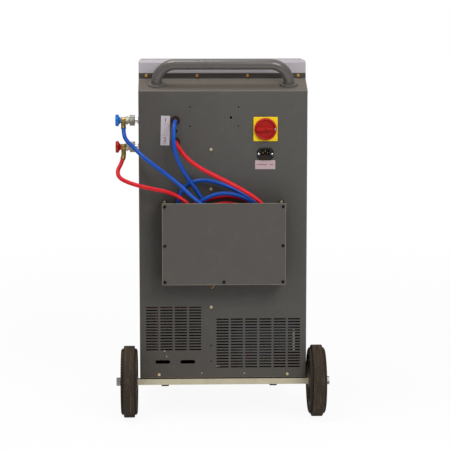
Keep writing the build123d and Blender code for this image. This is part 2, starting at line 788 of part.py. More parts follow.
with BuildPart() as tray_front_plate:
    with BuildSketch(rear_plane(tray_depth - sheet)):
        with Locations((0, (tray_top + tray_bottom) / 2)):
            RectangleRounded(2 * tray_half_width, tray_top - tray_bottom, 1.0)
        with Locations(*tray_screws_at):
            Circle(screw_hole_radius, mode=Mode.SUBTRACT)
    extrude(amount=sheet)
save(tray_front_plate, "tray_front_plate")


# Cross-recessed pan head screws: the brass ones of the cabinet and the dark ones of the tray plate
panel_screw_places = [p for p in column_screws if not tray_bottom < p[1] < tray_top] + base_screws
screw_groups = {
    "panel_screws": (
        (rear_plane(-slope_depth), flange_screws),
        (rear_plane(), panel_screw_places),
        (rear_plane(sheet), tray_fixings),
    ),
    "tray_screws": ((rear_plane(tray_depth), tray_screws_at),),
}
for screw_name, screw_rows in screw_groups.items():
    with BuildPart() as screws:
        for screw_plane, screw_places in screw_rows:
            with BuildSketch(screw_plane):
                with Locations(*screw_places):
                    Circle(screw_head_radius)
            extrude(amount=screw_head_height)
            fillet(screws.edges().group_by(Axis.Y)[0], radius=screw_head_height / 2.5)
            with BuildSketch(screw_plane.offset(screw_head_height)):
                with Locations(*screw_places):
                    Rectangle(screw_head_radius * 1.1, screw_head_radius * 0.22)
                    Rectangle(screw_head_radius * 0.22, screw_head_radius * 1.1)
            extrude(amount=-screw_head_height / 2, mode=Mode.SUBTRACT)
            with BuildSketch(screw_plane):
                with Locations(*screw_places):
                    Circle(screw_radius)
            extrude(amount=-screw_length)
    save(screws, screw_name)

# Axle: a square bar with turned ends, its washers and its nuts
boss_length = wheel_width
bar_half_length = wheel_x - boss_length / 2 - touch_gap
washer_x = wheel_x + boss_length / 2 + touch_gap
nut_x = washer_x + washer_thickness
axle_end_x = nut_x + axle_nut_thickness - axle_end_inset
with BuildPart() as axle:
    with BuildSketch(Plane.YZ):
        with Locations((axle_y, axle_z)):
            Rectangle(axle_bar, axle_bar)
    extrude(amount=bar_half_length, both=True)
    with BuildSketch(Plane.YZ):
        with Locations((axle_y, axle_z)):
            Circle(axle_radius - running_gap)
    extrude(amount=washer_x, both=True)
    with BuildSketch(Plane.YZ):
        with Locations((axle_y, axle_z)):
            Circle(axle_thread_radius)
    extrude(amount=axle_end_x, both=True)
save(axle, "axle")
with BuildPart() as axle_nuts:
    for side in (-1, 1):
        with BuildSketch(Plane.YZ.offset(side * washer_x)):
            with Locations((axle_y, axle_z)):
                Circle(washer_radius)
                Circle(axle_thread_radius + touch_gap, mode=Mode.SUBTRACT)
        extrude(amount=side * washer_thickness)
        with BuildSketch(Plane.YZ.offset(side * nut_x)):
            with Locations((axle_y, axle_z)):
                RegularPolygon(axle_nut_size, 6, major_radius=False)
                Circle(axle_thread_radius + touch_gap, mode=Mode.SUBTRACT)
        extrude(amount=side * axle_nut_thickness)
save(axle_nuts, "axle_nuts")

# Rear wheels: a ribbed hub that runs on the axle and a stepped rubber tyre around its rim
rib_count = 8
rib_thickness = 5.0
hub_web_thickness = 6.0
rim_step = 3.0
rib_step = 6.0
rib_overlap = 2.0
tyre_edge = 6.0
tyre_groove = 2.0
rim_width = wheel_width - 2 * rim_step
rim_inner_radius = rim_radius - rim_wall
shoulder_radius = wheel_radius - tread_step
for side_name, side in (("left", -1), ("right", 1)):
    wheel_centre = (side * wheel_x, axle_y, axle_z)
    wheel_axis = Axis(wheel_centre, (1, 0, 0))
    wheel_section = Plane(origin=wheel_centre, x_dir=(1, 0, 0), z_dir=(0, -1, 0))
    wheel_face = Plane(origin=wheel_centre, x_dir=(0, 1, 0), z_dir=(1, 0, 0))
    with BuildPart() as wheel_hub:
        with BuildSketch(wheel_face):
            Circle(rim_radius)
            Circle(rim_inner_radius, mode=Mode.SUBTRACT)
        extrude(amount=rim_width / 2, both=True)
        with BuildSketch(wheel_face):
            Circle(rim_radius - rim_wall / 2)
        extrude(amount=hub_web_thickness / 2, both=True)
        with BuildSketch(wheel_face):
            Circle(hub_boss_radius)
        extrude(amount=boss_length / 2, both=True)
        with BuildSketch(wheel_face):
            with PolarLocations((rim_inner_radius + hub_boss_radius) / 2, rib_count):
                Rectangle(rim_inner_radius - hub_boss_radius + 2 * rib_overlap, rib_thickness)
        extrude(amount=rim_width / 2 - rib_step, both=True)
        with BuildSketch(wheel_face):
            Circle(axle_radius)
        extrude(amount=wheel_width, both=True, mode=Mode.SUBTRACT)
    save(wheel_hub, f"{side_name}_wheel_hub")
    with BuildPart() as wheel_tyre:
        with BuildSketch(wheel_section):
            with BuildLine():
                FilletPolyline(
                    (-rim_width / 2, rim_radius),
                    (-wheel_width / 2, rim_radius + tyre_edge),
                    (-wheel_width / 2, shoulder_radius),
                    (-tread_width / 2, shoulder_radius + tyre_groove),
                    (-tread_width / 2, wheel_radius),
                    (tread_width / 2, wheel_radius),
                    (tread_width / 2, shoulder_radius + tyre_groove),
                    (wheel_width / 2, shoulder_radius),
                    (wheel_width / 2, rim_radius + tyre_edge),
                    (rim_width / 2, rim_radius),
                    radius=tyre_groove,
                )
                Line((rim_width / 2, rim_radius), (-rim_width / 2, rim_radius))
            make_face()
        revolve(axis=wheel_axis)
    save(wheel_tyre, f"{side_name}_tyre")

# Front castors: a plate with its race, a swivelling fork with kingpin and axle, and a wheel
castor_x = 180.0
castor_setback = 49.0
castor_wheel_radius = 39.0
castor_wheel_width = 30.0
castor_trail = 30.0
castor_plate_width = 96.0
castor_plate_depth = 84.0
castor_plate_thickness = 4.0
castor_race_radius = 30.0
castor_race_height = 8.0
castor_disc_thickness = 3.0
castor_disc_inset = 2.0
castor_pin_end = 3.0
castor_tread_drop = 8.0
castor_tread_step = 4.0
castor_edge_radius = 3.0
castor_plate_corner = 6.0
castor_leg_thickness = 3.5
castor_leg_gap = 1.0
castor_leg_radius = 13.0
castor_leg_root = 22.0
castor_pin_radius = 5.0
kingpin_radius = 6.0
kingpin_length = 7.0
castor_y = front_y - castor_setback
castor_race_z = cabinet_bottom - castor_plate_thickness - castor_race_height
castor_fork_z = castor_race_z - touch_gap
with BuildPart() as castor_plates:
    with BuildSketch(Plane.XY.offset(cabinet_bottom)):
        with Locations((0, castor_y)):
            with GridLocations(2 * castor_x, 0, 2, 1):
                RectangleRounded(castor_plate_width, castor_plate_depth, castor_plate_corner)
    extrude(amount=-castor_plate_thickness)
    with BuildSketch(Plane.XY.offset(cabinet_bottom - castor_plate_thickness)):
        with Locations((0, castor_y)):
            with GridLocations(2 * castor_x, 0, 2, 1):
                Circle(castor_race_radius)
    extrude(amount=-castor_race_height)
    with BuildSketch(Plane.XY.offset(castor_race_z)):
        with Locations((0, castor_y)):
            with GridLocations(2 * castor_x, 0, 2, 1):
                Circle(kingpin_radius + running_gap)
    extrude(amount=kingpin_length + touch_gap, mode=Mode.SUBTRACT)
save(castor_plates, "castor_plates")
for side_name, side in (("left", -1), ("right", 1)):
    fork_x = side * castor_x
    castor_wheel_y = castor_y + castor_trail
    castor_centre = (fork_x, castor_wheel_y, castor_wheel_radius)
    leg_x = castor_wheel_width / 2 + castor_leg_gap
    with BuildPart() as castor_fork:
        with BuildSketch(Plane.XY.offset(castor_fork_z)):
            with Locations((fork_x, castor_y)):
                Circle(castor_race_radius - castor_disc_inset)
        extrude(amount=-castor_disc_thickness)
        with BuildSketch(Plane.XY.offset(castor_fork_z)):
            with Locations((fork_x, castor_y)):
                Circle(kingpin_radius)
        extrude(amount=kingpin_length)
        for leg_side in (-1, 1):
            with BuildSketch(Plane.YZ.offset(fork_x + leg_side * leg_x)):
                Polygon(
                    (castor_y - castor_leg_root, castor_fork_z),
                    (castor_y + castor_leg_root, castor_fork_z),
                    (castor_wheel_y + castor_leg_radius, castor_wheel_radius),
                    (castor_wheel_y - castor_leg_radius, castor_wheel_radius),
                    align=None,
                )
                with Locations((castor_wheel_y, castor_wheel_radius)):
                    Circle(castor_leg_radius)
            extrude(amount=leg_side * castor_leg_thickness)
        with BuildSketch(Plane.YZ.offset(fork_x)):
            with Locations((castor_wheel_y, castor_wheel_radius)):
                Circle(castor_pin_radius)
        extrude(amount=leg_x + castor_leg_thickness + castor_pin_end, both=True)
    save(castor_fork, f"{side_name}_castor_fork")
    with BuildPart() as castor_wheel:
        with BuildSketch(Plane(origin=castor_centre, x_dir=(1, 0, 0), z_dir=(0, -1, 0))):
            with BuildLine():
                FilletPolyline(
                    (-castor_wheel_width / 2, castor_pin_radius + running_gap),
                    (-castor_wheel_width / 2, castor_wheel_radius - castor_tread_drop),
                    (-castor_wheel_width / 2 + castor_tread_step, castor_wheel_radius),
                    (castor_wheel_width / 2 - castor_tread_step, castor_wheel_radius),
                    (castor_wheel_width / 2, castor_wheel_radius - castor_tread_drop),
                    (castor_wheel_width / 2, castor_pin_radius + running_gap),
                    radius=castor_edge_radius,
                )
                Line(
                    (castor_wheel_width / 2, castor_pin_radius + running_gap),
                    (-castor_wheel_width / 2, castor_pin_radius + running_gap),
                )
            make_face()
        revolve(axis=Axis(castor_centre, (1, 0, 0)))
    save(castor_wheel, f"{side_name}_castor_wheel")

# Main switch: plate, neck and body in one, and the red rotary knob with its grip bar
switch_body_size = 56.0
switch_body_depth = 42.0
knob_radius = 33.5
knob_thickness = 9.0
knob_grip_height = 17.0
knob_grip_width = 15.0
knob_stem_radius = 5.0
knob_stem_length = 10.0
knob_edge = 2.5
grip_edge = 2.0
grip_inset = 4.0
grip_shift = 3.0
switch_corner = 3.0
plate_edge = 1.0
with BuildPart() as switch_base:
    with BuildSketch(rear_plane()):
        with Locations(switch_centre):
            RectangleRounded(switch_plate_size, switch_plate_size, switch_corner)
    extrude(amount=switch_plate_thickness)
    fillet(switch_base.edges().group_by(Axis.Y)[0], radius=plate_edge)
    with BuildSketch(rear_plane()):
        with Locations(switch_centre):
            Circle(switch_neck_radius)
    extrude(amount=-sheet)
    with BuildSketch(rear_plane(-sheet)):
        with Locations(switch_centre):
            RectangleRounded(switch_body_size, switch_body_size, switch_corner)
    extrude(amount=-switch_body_depth)
    with BuildSketch(rear_plane(switch_plate_thickness)):
        with Locations(switch_centre):
            Circle(knob_stem_radius + running_gap)
    extrude(amount=-knob_stem_length - touch_gap, mode=Mode.SUBTRACT)
save(switch_base, "switch_base")
knob_base = switch_plate_thickness + touch_gap
with BuildPart() as switch_knob:
    with BuildSketch(rear_plane(knob_base)):
        with Locations(switch_centre):
            Circle(knob_radius)
    extrude(amount=knob_thickness)
    fillet(switch_knob.edges().group_by(Axis.Y)[0], radius=knob_edge)
    with BuildSketch(rear_plane(knob_base + knob_thickness)):
        with Locations((switch_centre[0] - grip_shift, switch_centre[1])):
            SlotOverall(2 * (knob_radius - grip_inset), knob_grip_width)
    extrude(amount=knob_grip_height - knob_thickness)
    fillet(switch_knob.edges().group_by(Axis.Y)[0], radius=grip_edge)
    with BuildSketch(rear_plane(knob_base)):
        with Locations(switch_centre):
            Circle(knob_stem_radius)
    extrude(amount=-knob_stem_length)
save(switch_knob, "switch_knob")

# Mains inlet with its pins, and the fuse drawer under the socket
socket_width = 24.0
socket_height = 16.5
socket_depth = 16.0
socket_drop = 5.5
inlet_chamfer = 9.0
pin_width = 2.0
pin_height = 4.0
pin_length = 12.0
pin_spacing = 7.0
outer_pin_drop = 1.5
middle_pin_rise = 3.0
drawer_width = 25.0
drawer_height = 9.0
drawer_depth = 20.0
drawer_drop = -11.0
drawer_pull_width = 13.0
drawer_pull_height = 2.5
drawer_pull_depth = 1.2
socket_centre = (inlet_centre[0], inlet_centre[1] + socket_drop)
drawer_centre = (inlet_centre[0], inlet_centre[1] + drawer_drop)
pin_places = [
    (socket_centre[0] - pin_spacing, socket_centre[1] - outer_pin_drop),
    (socket_centre[0], socket_centre[1] + middle_pin_rise),
    (socket_centre[0] + pin_spacing, socket_centre[1] - outer_pin_drop),
]
with BuildPart() as mains_inlet:
    with BuildSketch(rear_plane()) as inlet_outline:
        with Locations(inlet_centre):
            Rectangle(inlet_width, inlet_height)
        chamfer(inlet_outline.vertices(), inlet_chamfer)
    extrude(amount=inlet_flange_thickness)
    with BuildSketch(rear_plane()):
        with Locations(inlet_centre):
            Rectangle(inlet_body_width, inlet_body_height)
    extrude(amount=-inlet_body_depth)
    with BuildSketch(rear_plane(inlet_flange_thickness)):
        with Locations(socket_centre):
            Rectangle(socket_width, socket_height)
    extrude(amount=-socket_depth, mode=Mode.SUBTRACT)
    with BuildSketch(rear_plane(inlet_flange_thickness)):
        with Locations(drawer_centre):
            Rectangle(drawer_width + 2 * touch_gap, drawer_height + 2 * touch_gap)
    extrude(amount=-drawer_depth - touch_gap, mode=Mode.SUBTRACT)
    with BuildSketch(rear_plane(inlet_flange_thickness)):
        with Locations(*inlet_screws):
            Circle(screw_hole_radius)
    extrude(amount=-inlet_flange_thickness, mode=Mode.SUBTRACT)
    with BuildSketch(rear_plane(inlet_flange_thickness - socket_depth)):
        with Locations(*pin_places):
            Rectangle(pin_width, pin_height)
    extrude(amount=pin_length)
save(mains_inlet, "mains_inlet")
with BuildPart() as fuse_drawer:
    with BuildSketch(rear_plane(inlet_flange_thickness)):
        with Locations(drawer_centre):
            Rectangle(drawer_width, drawer_height)
    extrude(amount=-drawer_depth)
    with BuildSketch(rear_plane(inlet_flange_thickness)):
        with Locations(drawer_centre):
            Rectangle(drawer_pull_width, drawer_pull_height)
    extrude(amount=drawer_pull_depth)
save(fuse_drawer, "fuse_drawer")

# Bulkhead fittings of the two service hoses, in the first and last of the three ports
manifold_depth = 40.0
manifold_width = 44.0
manifold_gap = 14.0
manifold_end = 17.0
valve_coil_radius = 13.0
valve_coil_length = 44.0
hose_ports = [(port_x, port_zs[0]), (port_x, port_zs[2])]
with BuildPart() as port_fittings:
    with BuildSketch(rear_plane()):
        with Locations(*hose_ports):
            Circle(port_ring_radius)
    extrude(amount=port_ring_thickness)
    fillet(port_fittings.edges().group_by(Axis.Y)[0], radius=plate_edge)
    with BuildSketch(rear_plane(port_neck_length)):
        with Locations(*hose_ports):
            Circle(port_neck_radius)
    extrude(amount=-port_neck_length - manifold_gap)
save(port_fittings, "port_fittings")
with BuildPart() as valve_manifold:
    with BuildSketch(rear_plane(-manifold_gap)):
        with Locations((port_x, port_zs[1])):
            Rectangle(manifold_width, 2 * port_spacing + 2 * manifold_end)
    extrude(amount=-manifold_depth)
    with BuildSketch(rear_plane(-manifold_gap - manifold_depth)):
        with Locations(*[(port_x, z) for z in port_zs]):
            Circle(valve_coil_radius)
    extrude(amount=-valve_coil_length)
    with BuildSketch(rear_plane(-manifold_gap)):
        with Locations((port_x, port_zs[1])):
            Circle(port_hole_radius)
    extrude(amount=-manifold_depth / 2, mode=Mode.SUBTRACT)
save(valve_manifold, "valve_manifold")

# Parking posts on the left side, and the two quick couplers that are stored on them
post_inset = 70.0
post_y = rear_y + post_inset
post_radius = 7.0
post_length = 20.0
post_foot_radius = 12.0
post_foot_thickness = 3.0
post_zs = {"low": 910.0, "high": 829.0}
hose_end_drops = {"low": 20.0, "high": 27.0}
coupler_start = 12.0
coupler_neck_radius = 10.0
coupler_shoulder_start = 33.0
coupler_shoulder_radius = 14.0
coupler_elbow_start = 39.0
sleeve_length = 16.0
sleeve_radius = 16.5
sleeve_travel = 4.0
elbow_radius = 9.0
elbow_end = 54.5
elbow_centre = 47.0
elbow_drop_radius = 7.2
turn_stem_radius = 5.0
turn_knob_radius = 18.0
turn_knob_thickness = 10.0
turn_knob_neck = 6.5
turn_flutes = 8
turn_flute_radius = 3.5
turn_flute_offset = 1.5
sleeve_edge = 1.5
sleeve_groove = 1.0
sleeve_groove_width = 2.5


def coupler_plane(post_z, along=0.0):
    """Plane across a coupler's axis, along millimetres out from the left side of the cabinet."""
    return Plane(origin=(-half_width - along, post_y, post_z), x_dir=(0, -1, 0), z_dir=(-1, 0, 0))


with BuildPart() as parking_posts:
    for post_z in post_zs.values():
        with BuildSketch(coupler_plane(post_z)):
            RegularPolygon(post_foot_radius, 6)
        extrude(amount=post_foot_thickness)
        with BuildSketch(coupler_plane(post_z)):
            Circle(post_radius)
        extrude(amount=post_length)
save(parking_posts, "parking_posts")
for side_name, post_z in post_zs.items():
    with BuildPart() as coupler_body:
        with BuildSketch(coupler_plane(post_z, coupler_start)):
            Circle(coupler_neck_radius)
        extrude(amount=coupler_elbow_start - coupler_start)
        with BuildSketch(coupler_plane(post_z, coupler_shoulder_start)):
            RegularPolygon(coupler_shoulder_radius, 6)
        extrude(amount=coupler_elbow_start - coupler_shoulder_start)
        with BuildSketch(coupler_plane(post_z, coupler_start)):
            Circle(post_radius + running_gap)
        extrude(amount=post_length - coupler_start + touch_gap, mode=Mode.SUBTRACT)
    save(coupler_body, f"{side_name}_coupler_body")
    with BuildPart() as coupler_sleeve:
        with BuildSketch(coupler_plane(post_z, coupler_start)):
            Circle(sleeve_radius)
        extrude(amount=sleeve_length)
        fillet(coupler_sleeve.edges(), radius=sleeve_edge)
        with BuildSketch(coupler_plane(post_z, coupler_start)):
            Circle(coupler_neck_radius + running_gap)
        extrude(amount=sleeve_length, mode=Mode.SUBTRACT)
        with BuildSketch(coupler_plane(post_z, coupler_start + sleeve_length / 2)):
            Circle(sleeve_radius + sleeve_groove)
            Circle(sleeve_radius - sleeve_groove, mode=Mode.SUBTRACT)
        extrude(amount=sleeve_groove_width, mode=Mode.SUBTRACT)
    save(coupler_sleeve, f"{side_name}_coupler_sleeve")
    hose_end = Plane.XY.offset(post_z - hose_end_drops[side_name])
    with BuildPart() as coupler_elbow:
        with BuildSketch(coupler_plane(post_z, coupler_elbow_start)):
            Circle(elbow_radius)
        extrude(amount=elbow_end - coupler_elbow_start)
        with BuildSketch(hose_end):
            with Locations((-half_width - elbow_centre, post_y)):
                Circle(elbow_drop_radius)
        extrude(amount=hose_end_drops[side_name])
        with BuildSketch(coupler_plane(post_z, elbow_end)):
            Circle(turn_stem_radius + running_gap)
        extrude(amount=elbow_centre - elbow_end - touch_gap, mode=Mode.SUBTRACT)
    save(coupler_elbow, f"{side_name}_coupler_elbow")
    with BuildPart() as coupler_knob:
        knob_start = elbow_end + touch_gap
        with BuildSketch(coupler_plane(post_z, elbow_centre)):
            Circle(turn_stem_radius)
        extrude(amount=knob_start - elbow_centre)
        with BuildSketch(coupler_plane(post_z, knob_start)):
            Circle(elbow_radius)
        with BuildSketch(coupler_plane(post_z, knob_start + turn_knob_neck)):
            Circle(turn_knob_radius)
        loft()
        with BuildSketch(coupler_plane(post_z, knob_start + turn_knob_neck)):
            Circle(turn_knob_radius)
            with PolarLocations(turn_knob_radius + turn_flute_offset, turn_flutes):
                Circle(turn_flute_radius, mode=Mode.SUBTRACT)
        extrude(amount=turn_knob_thickness)
    save(coupler_knob, f"{side_name}_coupler_knob")

# Service hoses as X, distance behind the rear panel and Z: from the port through the tray to the coupler
hose_diameter = 12.5
low_hose_route = [
    (-143.5, 9, 914), (-144.5, 36, 914), (-147.5, 59, 901), (-149.5, 72, 877), (-149.5, 74, 846),
    (-142, 71, 811), (-126, 63, 776), (-105, 52, 741), (-81, 39, 706), (-57, 34, 666),
    (-37, 35, 612), (-22, 36, 555), (-6, 36, 498), (17, 36, 457), (58, 36, 437),
    (103, 36, 441), (137, 34, 470), (148, 30, 514), (151, 27, 561), (144, 24, 607),
    (122, 23, 648), (86, 23, 678), (44, 23, 702), (0, 23, 722), (-45, 23, 736),
    (-92, 23, 733), (-127, 23, 708), (-137, 23, 666), (-146, 23, 618), (-150, 23, 565),
    (-143, 23, 512), (-118, 24, 468), (-75, 33, 440), (-25, 45, 435), (30, 49, 436),
    (83, 49, 445), (126, 49, 472), (146, 49, 516), (150, 49, 566), (140, 49, 615),
    (113, 49, 655), (74, 49, 680), (30, 50, 697), (-15, 51, 699), (-58, 50, 682),
    (-96, 49, 653), (-125, 51, 613), (-138, 56, 564), (-131, 61, 512), (-101, 62, 468),
    (-56, 62, 441), (-8, 62, 435), (42, 63, 436), (85, 66, 453), (109, 70, 491),
    (105, 74, 536), (77, 75, 573), (37, 75, 600), (-6, 75, 625), (-46, 75, 651),
    (-85, 74, 681), (-127, 71, 722), (-168, 65, 755), (-209, 54, 784), (-245, 36, 811),
    (-272, 8, 836), (-291, -26, 850), (-301, -55, 866), (-302, -70, 890),
]
high_hose_route = [
    (-143.5, 9, 850), (-142, 34, 849), (-134, 54, 836), (-117, 64, 812), (-88, 66, 787),
    (-48, 66, 763), (0, 66, 740), (48, 66, 715), (92, 65, 688), (128, 64, 655),
    (153, 62, 613), (169, 60, 566), (173, 54, 515), (162, 42, 470), (129, 26, 442),
    (83, 14, 435), (33, 10, 436), (-18, 10, 435.5), (-68, 10, 443), (-114, 10, 463),
    (-146, 10, 501), (-156, 10, 549), (-146, 10, 597), (-119, 10, 639), (-79, 10, 666),
    (-28, 10, 682), (26, 10, 686), (80, 10, 672), (122, 10, 638), (143, 10, 589),
    (143, 10, 536), (118, 10, 489), (73, 10, 461), (21, 10, 451), (-31, 10, 456),
    (-80, 10, 475), (-113, 10, 512), (-123, 10, 560), (-108, 10, 606), (-72, 10, 641),
    (-24, 10, 662), (30, 10, 665), (77, 10, 645), (106, 10, 604), (112, 10, 554),
    (93, 10, 509), (53, 10, 479), (5, 14, 474), (-31, 24, 501), (-52, 38, 547),
    (-65, 54, 595), (-84, 63, 641), (-118, 65, 680), (-161, 60, 703), (-205, 50, 711),
    (-248, 34, 718), (-287, 14, 728), (-316, -14, 740), (-321, -44, 759), (-308, -64, 780),
    (-302, -70, 802),
]
for hose_name, hose_route in (("low_hose", low_hose_route), ("high_hose", high_hose_route)):
    points = [Vector(x, rear_y - out, z) for x, out, z in hose_route]
    radii = []
    for before, corner, after in zip(points, points[1:], points[2:]):
        turn = math.radians((corner - before).get_angle(after - corner))
        shorter_run = min((corner - before).length, (after - corner).length)
        radii.append(0.45 * shorter_run / math.tan(turn / 2))
    with BuildPart() as hose:
        with BuildLine() as hose_line:
            FilletPolyline(*points, radius=radii)
        hose_wire = hose_line.wires()[0]
        with BuildSketch(Plane(origin=hose_wire @ 0, z_dir=hose_wire % 0)):
            Circle(hose_diameter / 2)
        sweep()
    save(hose, hose_name)
    tube_volume = math.pi * hose_diameter**2 / 4 * hose_wire.length
    print(hose_name, "length", round(hose_wire.length), "volume share", round(hose.part.volume / tube_volume, 4))

# Refrigerant tank on its weighing platform
scale_size = 200.0
scale_foot_thickness = 5.0
scale_beam_height = 20.0
scale_plate_thickness = 6.0
scale_beam_length = 140.0
scale_beam_width = 33.0
scale_corner = 8.0
tank_centre = (110.0, rear_y + 285.0)
tank_radius = 105.0
tank_height = 360.0
tank_dome = 40.0
tank_valve_radius = 18.0
tank_valve_height = 30.0
tank_wall = 5.0
tank_valve_bore = 6.0
scale_top_z = pan_top_z + scale_foot_thickness + scale_beam_height + scale_plate_thickness
with BuildPart() as scale_platform:
    with BuildSketch(Plane.XY.offset(pan_top_z)):
        with Locations(tank_centre):
            Rectangle(scale_size, scale_size / 2)
    extrude(amount=scale_foot_thickness)
    with BuildSketch(Plane.XY.offset(pan_top_z)):
        with Locations(tank_centre):
            Rectangle(scale_beam_length, scale_beam_width)
    extrude(amount=scale_foot_thickness + scale_beam_height)
    with BuildSketch(Plane.XY.offset(scale_top_z - scale_plate_thickness)):
        with Locations(tank_centre):
            RectangleRounded(scale_size, scale_size, scale_corner)
    extrude(amount=scale_plate_thickness)
save(scale_platform, "scale_platform")
with BuildPart() as refrigerant_tank:
    with BuildSketch(Plane.XY.offset(scale_top_z)):
        with Locations(tank_centre):
            Circle(tank_radius)
    extrude(amount=tank_height)
    fillet(refrigerant_tank.edges().group_by(Axis.Z)[-1], radius=tank_dome)
    fillet(refrigerant_tank.edges().group_by(Axis.Z)[0], radius=tank_dome / 2)
    with BuildSketch(Plane.XY.offset(scale_top_z + tank_height)):
        with Locations(tank_centre):
            Circle(tank_valve_radius)
    extrude(amount=tank_valve_height)
    with BuildSketch(Plane.XY.offset(scale_top_z + tank_dome / 2)):
        with Locations(tank_centre):
            Circle(tank_radius - tank_wall)
    extrude(amount=tank_height - tank_dome * 1.5, mode=Mode.SUBTRACT)
    with BuildSketch(Plane.XY.offset(scale_top_z + tank_height + tank_valve_height)):
        with Locations(tank_centre):
            Circle(tank_valve_bore)
    extrude(amount=-tank_dome - tank_valve_height, mode=Mode.SUBTRACT)
save(refrigerant_tank, "refrigerant_tank")

# Vacuum pump behind the right vent, with its motor lying along X on a pedestal
pump_centre_x = 100.0
pump_y = rear_y + 95.0
pump_z = 245.0
pump_radius = 48.0
pump_motor_length = 130.0
pump_head_length = 60.0
pump_motor_edge = 12.0
pump_head_drop = 6.0
pump_head_width = 88.0
pump_head_height = 102.0
pump_head_corner = 10.0
pump_foot_inset = 10.0
pump_foot_overlap = 8.0
with BuildPart() as vacuum_pump:
    pump_left_x = pump_centre_x - pump_motor_length / 2
    with BuildSketch(Plane.YZ.offset(pump_left_x)):
        with Locations((pump_y, pump_z)):
            Circle(pump_radius)
    extrude(amount=pump_motor_length)
    fillet(vacuum_pump.edges().group_by(Axis.X)[0], radius=pump_motor_edge)
    with BuildSketch(Plane.YZ.offset(pump_left_x + pump_motor_length)):
        with Locations((pump_y, pump_z - pump_head_drop)):
            RectangleRounded(pump_head_width, pump_head_height, pump_head_corner)
    extrude(amount=pump_head_length)
    with BuildSketch(Plane.XY.offset(pan_top_z)):
        with Locations((pump_centre_x, pump_y)):
            Rectangle(pump_motor_length - 2 * pump_foot_inset, 2 * (pump_radius - pump_foot_inset))
    extrude(amount=pump_z - pump_radius + pump_foot_overlap - pan_top_z)
save(vacuum_pump, "vacuum_pump")

# Hermetic compressor
compressor_centre = (-150.0, rear_y + 300.0)
compressor_radius = 72.0
compressor_height = 170.0
compressor_foot = 120.0
compressor_foot_thickness = 5.0
compressor_foot_corner = 12.0
compressor_dome = 28.0
with BuildPart() as compressor:
    with BuildSketch(Plane.XY.offset(pan_top_z)):
        with Locations(compressor_centre):
            RectangleRounded(compressor_foot, compressor_foot, compressor_foot_corner)
    extrude(amount=compressor_foot_thickness)
    with BuildSketch(Plane.XY.offset(pan_top_z)):
        with Locations(compressor_centre):
            Circle(compressor_radius)
    extrude(amount=compressor_height)
    fillet(compressor.edges().group_by(Axis.Z)[-1], radius=compressor_dome)
save(compressor, "compressor")

# Condenser behind the left vent, its fan housing with the motor, and the fan
condenser_inset = 14.0
condenser_width = 172.0
condenser_height = 156.0
condenser_depth = 28.0
condenser_foot_thickness = 2.0
fan_x = left_vent_centre[0]
fan_z = left_vent_centre[1]
fan_housing_depth = 30.0
fan_opening_radius = 70.0
fan_radius = 66.0
fan_blade_count = 5
fan_hub_radius = 18.0
fan_motor_radius = 24.0
fan_motor_length = 38.0
fan_shaft_radius = 3.0
fan_shaft_length = 14.0
fan_hub_depth = 14.0
fan_hub_gap = 4.0
fan_blade_root = 3.0
fan_blade_width = 26.0
fan_blade_thickness = 1.6
fan_blade_pitch = 62.0
fan_strut_width = 12.0
fan_strut_thickness = 3.0
condenser_back = condenser_inset + condenser_depth
fan_plate_back = condenser_back + fan_housing_depth
with BuildPart() as condenser:
    with BuildSketch(rear_plane(-condenser_inset)):
        with Locations((fan_x, fan_z)):
            Rectangle(condenser_width, condenser_height)
    extrude(amount=-condenser_depth)
    foot_height = fan_z - pan_top_z
    with BuildSketch(rear_plane(-condenser_inset)):
        for foot_side in (-1, 1):
            with Locations((fan_x + foot_side * (condenser_width + condenser_foot_thickness) / 2, fan_z)):
                Rectangle(condenser_foot_thickness, 2 * foot_height)
    extrude(amount=-condenser_depth)
save(condenser, "condenser")
with BuildPart() as fan_housing:
    with BuildSketch(rear_plane(-condenser_back)):
        with Locations((fan_x, fan_z)):
            Rectangle(condenser_width, condenser_height)
            Rectangle(condenser_width - 2 * sheet, condenser_height - 2 * sheet, mode=Mode.SUBTRACT)
    extrude(amount=-fan_housing_depth)
    with BuildSketch(rear_plane(-fan_plate_back + sheet)):
        with Locations((fan_x, fan_z)):
            Rectangle(condenser_width, condenser_height)
            Circle(fan_opening_radius, mode=Mode.SUBTRACT)
    extrude(amount=-sheet)
    with BuildSketch(rear_plane(-fan_plate_back)):
        with Locations((fan_x, fan_z)):
            Rectangle(condenser_width, fan_strut_width)
            Rectangle(fan_strut_width, condenser_height)
    extrude(amount=-fan_strut_thickness)
    with BuildSketch(rear_plane(-fan_plate_back)):
        with Locations((fan_x, fan_z)):
            Circle(fan_motor_radius)
    extrude(amount=-fan_motor_length)
    with BuildSketch(rear_plane(-fan_plate_back)):
        with Locations((fan_x, fan_z)):
            Circle(fan_shaft_radius + running_gap)
    extrude(amount=-fan_shaft_length, mode=Mode.SUBTRACT)
save(fan_housing, "fan_housing")
fan_hub_back = fan_plate_back - fan_hub_gap
with BuildPart() as fan_blades:
    with BuildSketch(rear_plane(-fan_hub_back)):
        with Locations((fan_x, fan_z)):
            Circle(fan_hub_radius)
    extrude(amount=fan_hub_depth)
    with BuildSketch(rear_plane(-fan_hub_back)):
        with Locations((fan_x, fan_z)):
            Circle(fan_shaft_radius)
    extrude(amount=-fan_shaft_length)
    fan_centre = (fan_x, rear_y + fan_hub_back - fan_hub_depth / 2, fan_z)
    for blade in range(fan_blade_count):
        blade_angle = math.radians(360 * blade / fan_blade_count)
        outward = (math.cos(blade_angle), 0, math.sin(blade_angle))
        blade_plane = Plane(origin=fan_centre, x_dir=(0, 1, 0), z_dir=outward)
        with BuildSketch(blade_plane.offset(fan_hub_radius - fan_blade_root)):
            with Locations(Location((0, 0, 0), (0, 0, fan_blade_pitch))):
                Rectangle(fan_blade_width, fan_blade_thickness)
        extrude(amount=fan_radius - fan_hub_radius + fan_blade_root - 1.0)
save(fan_blades, "fan_blades")

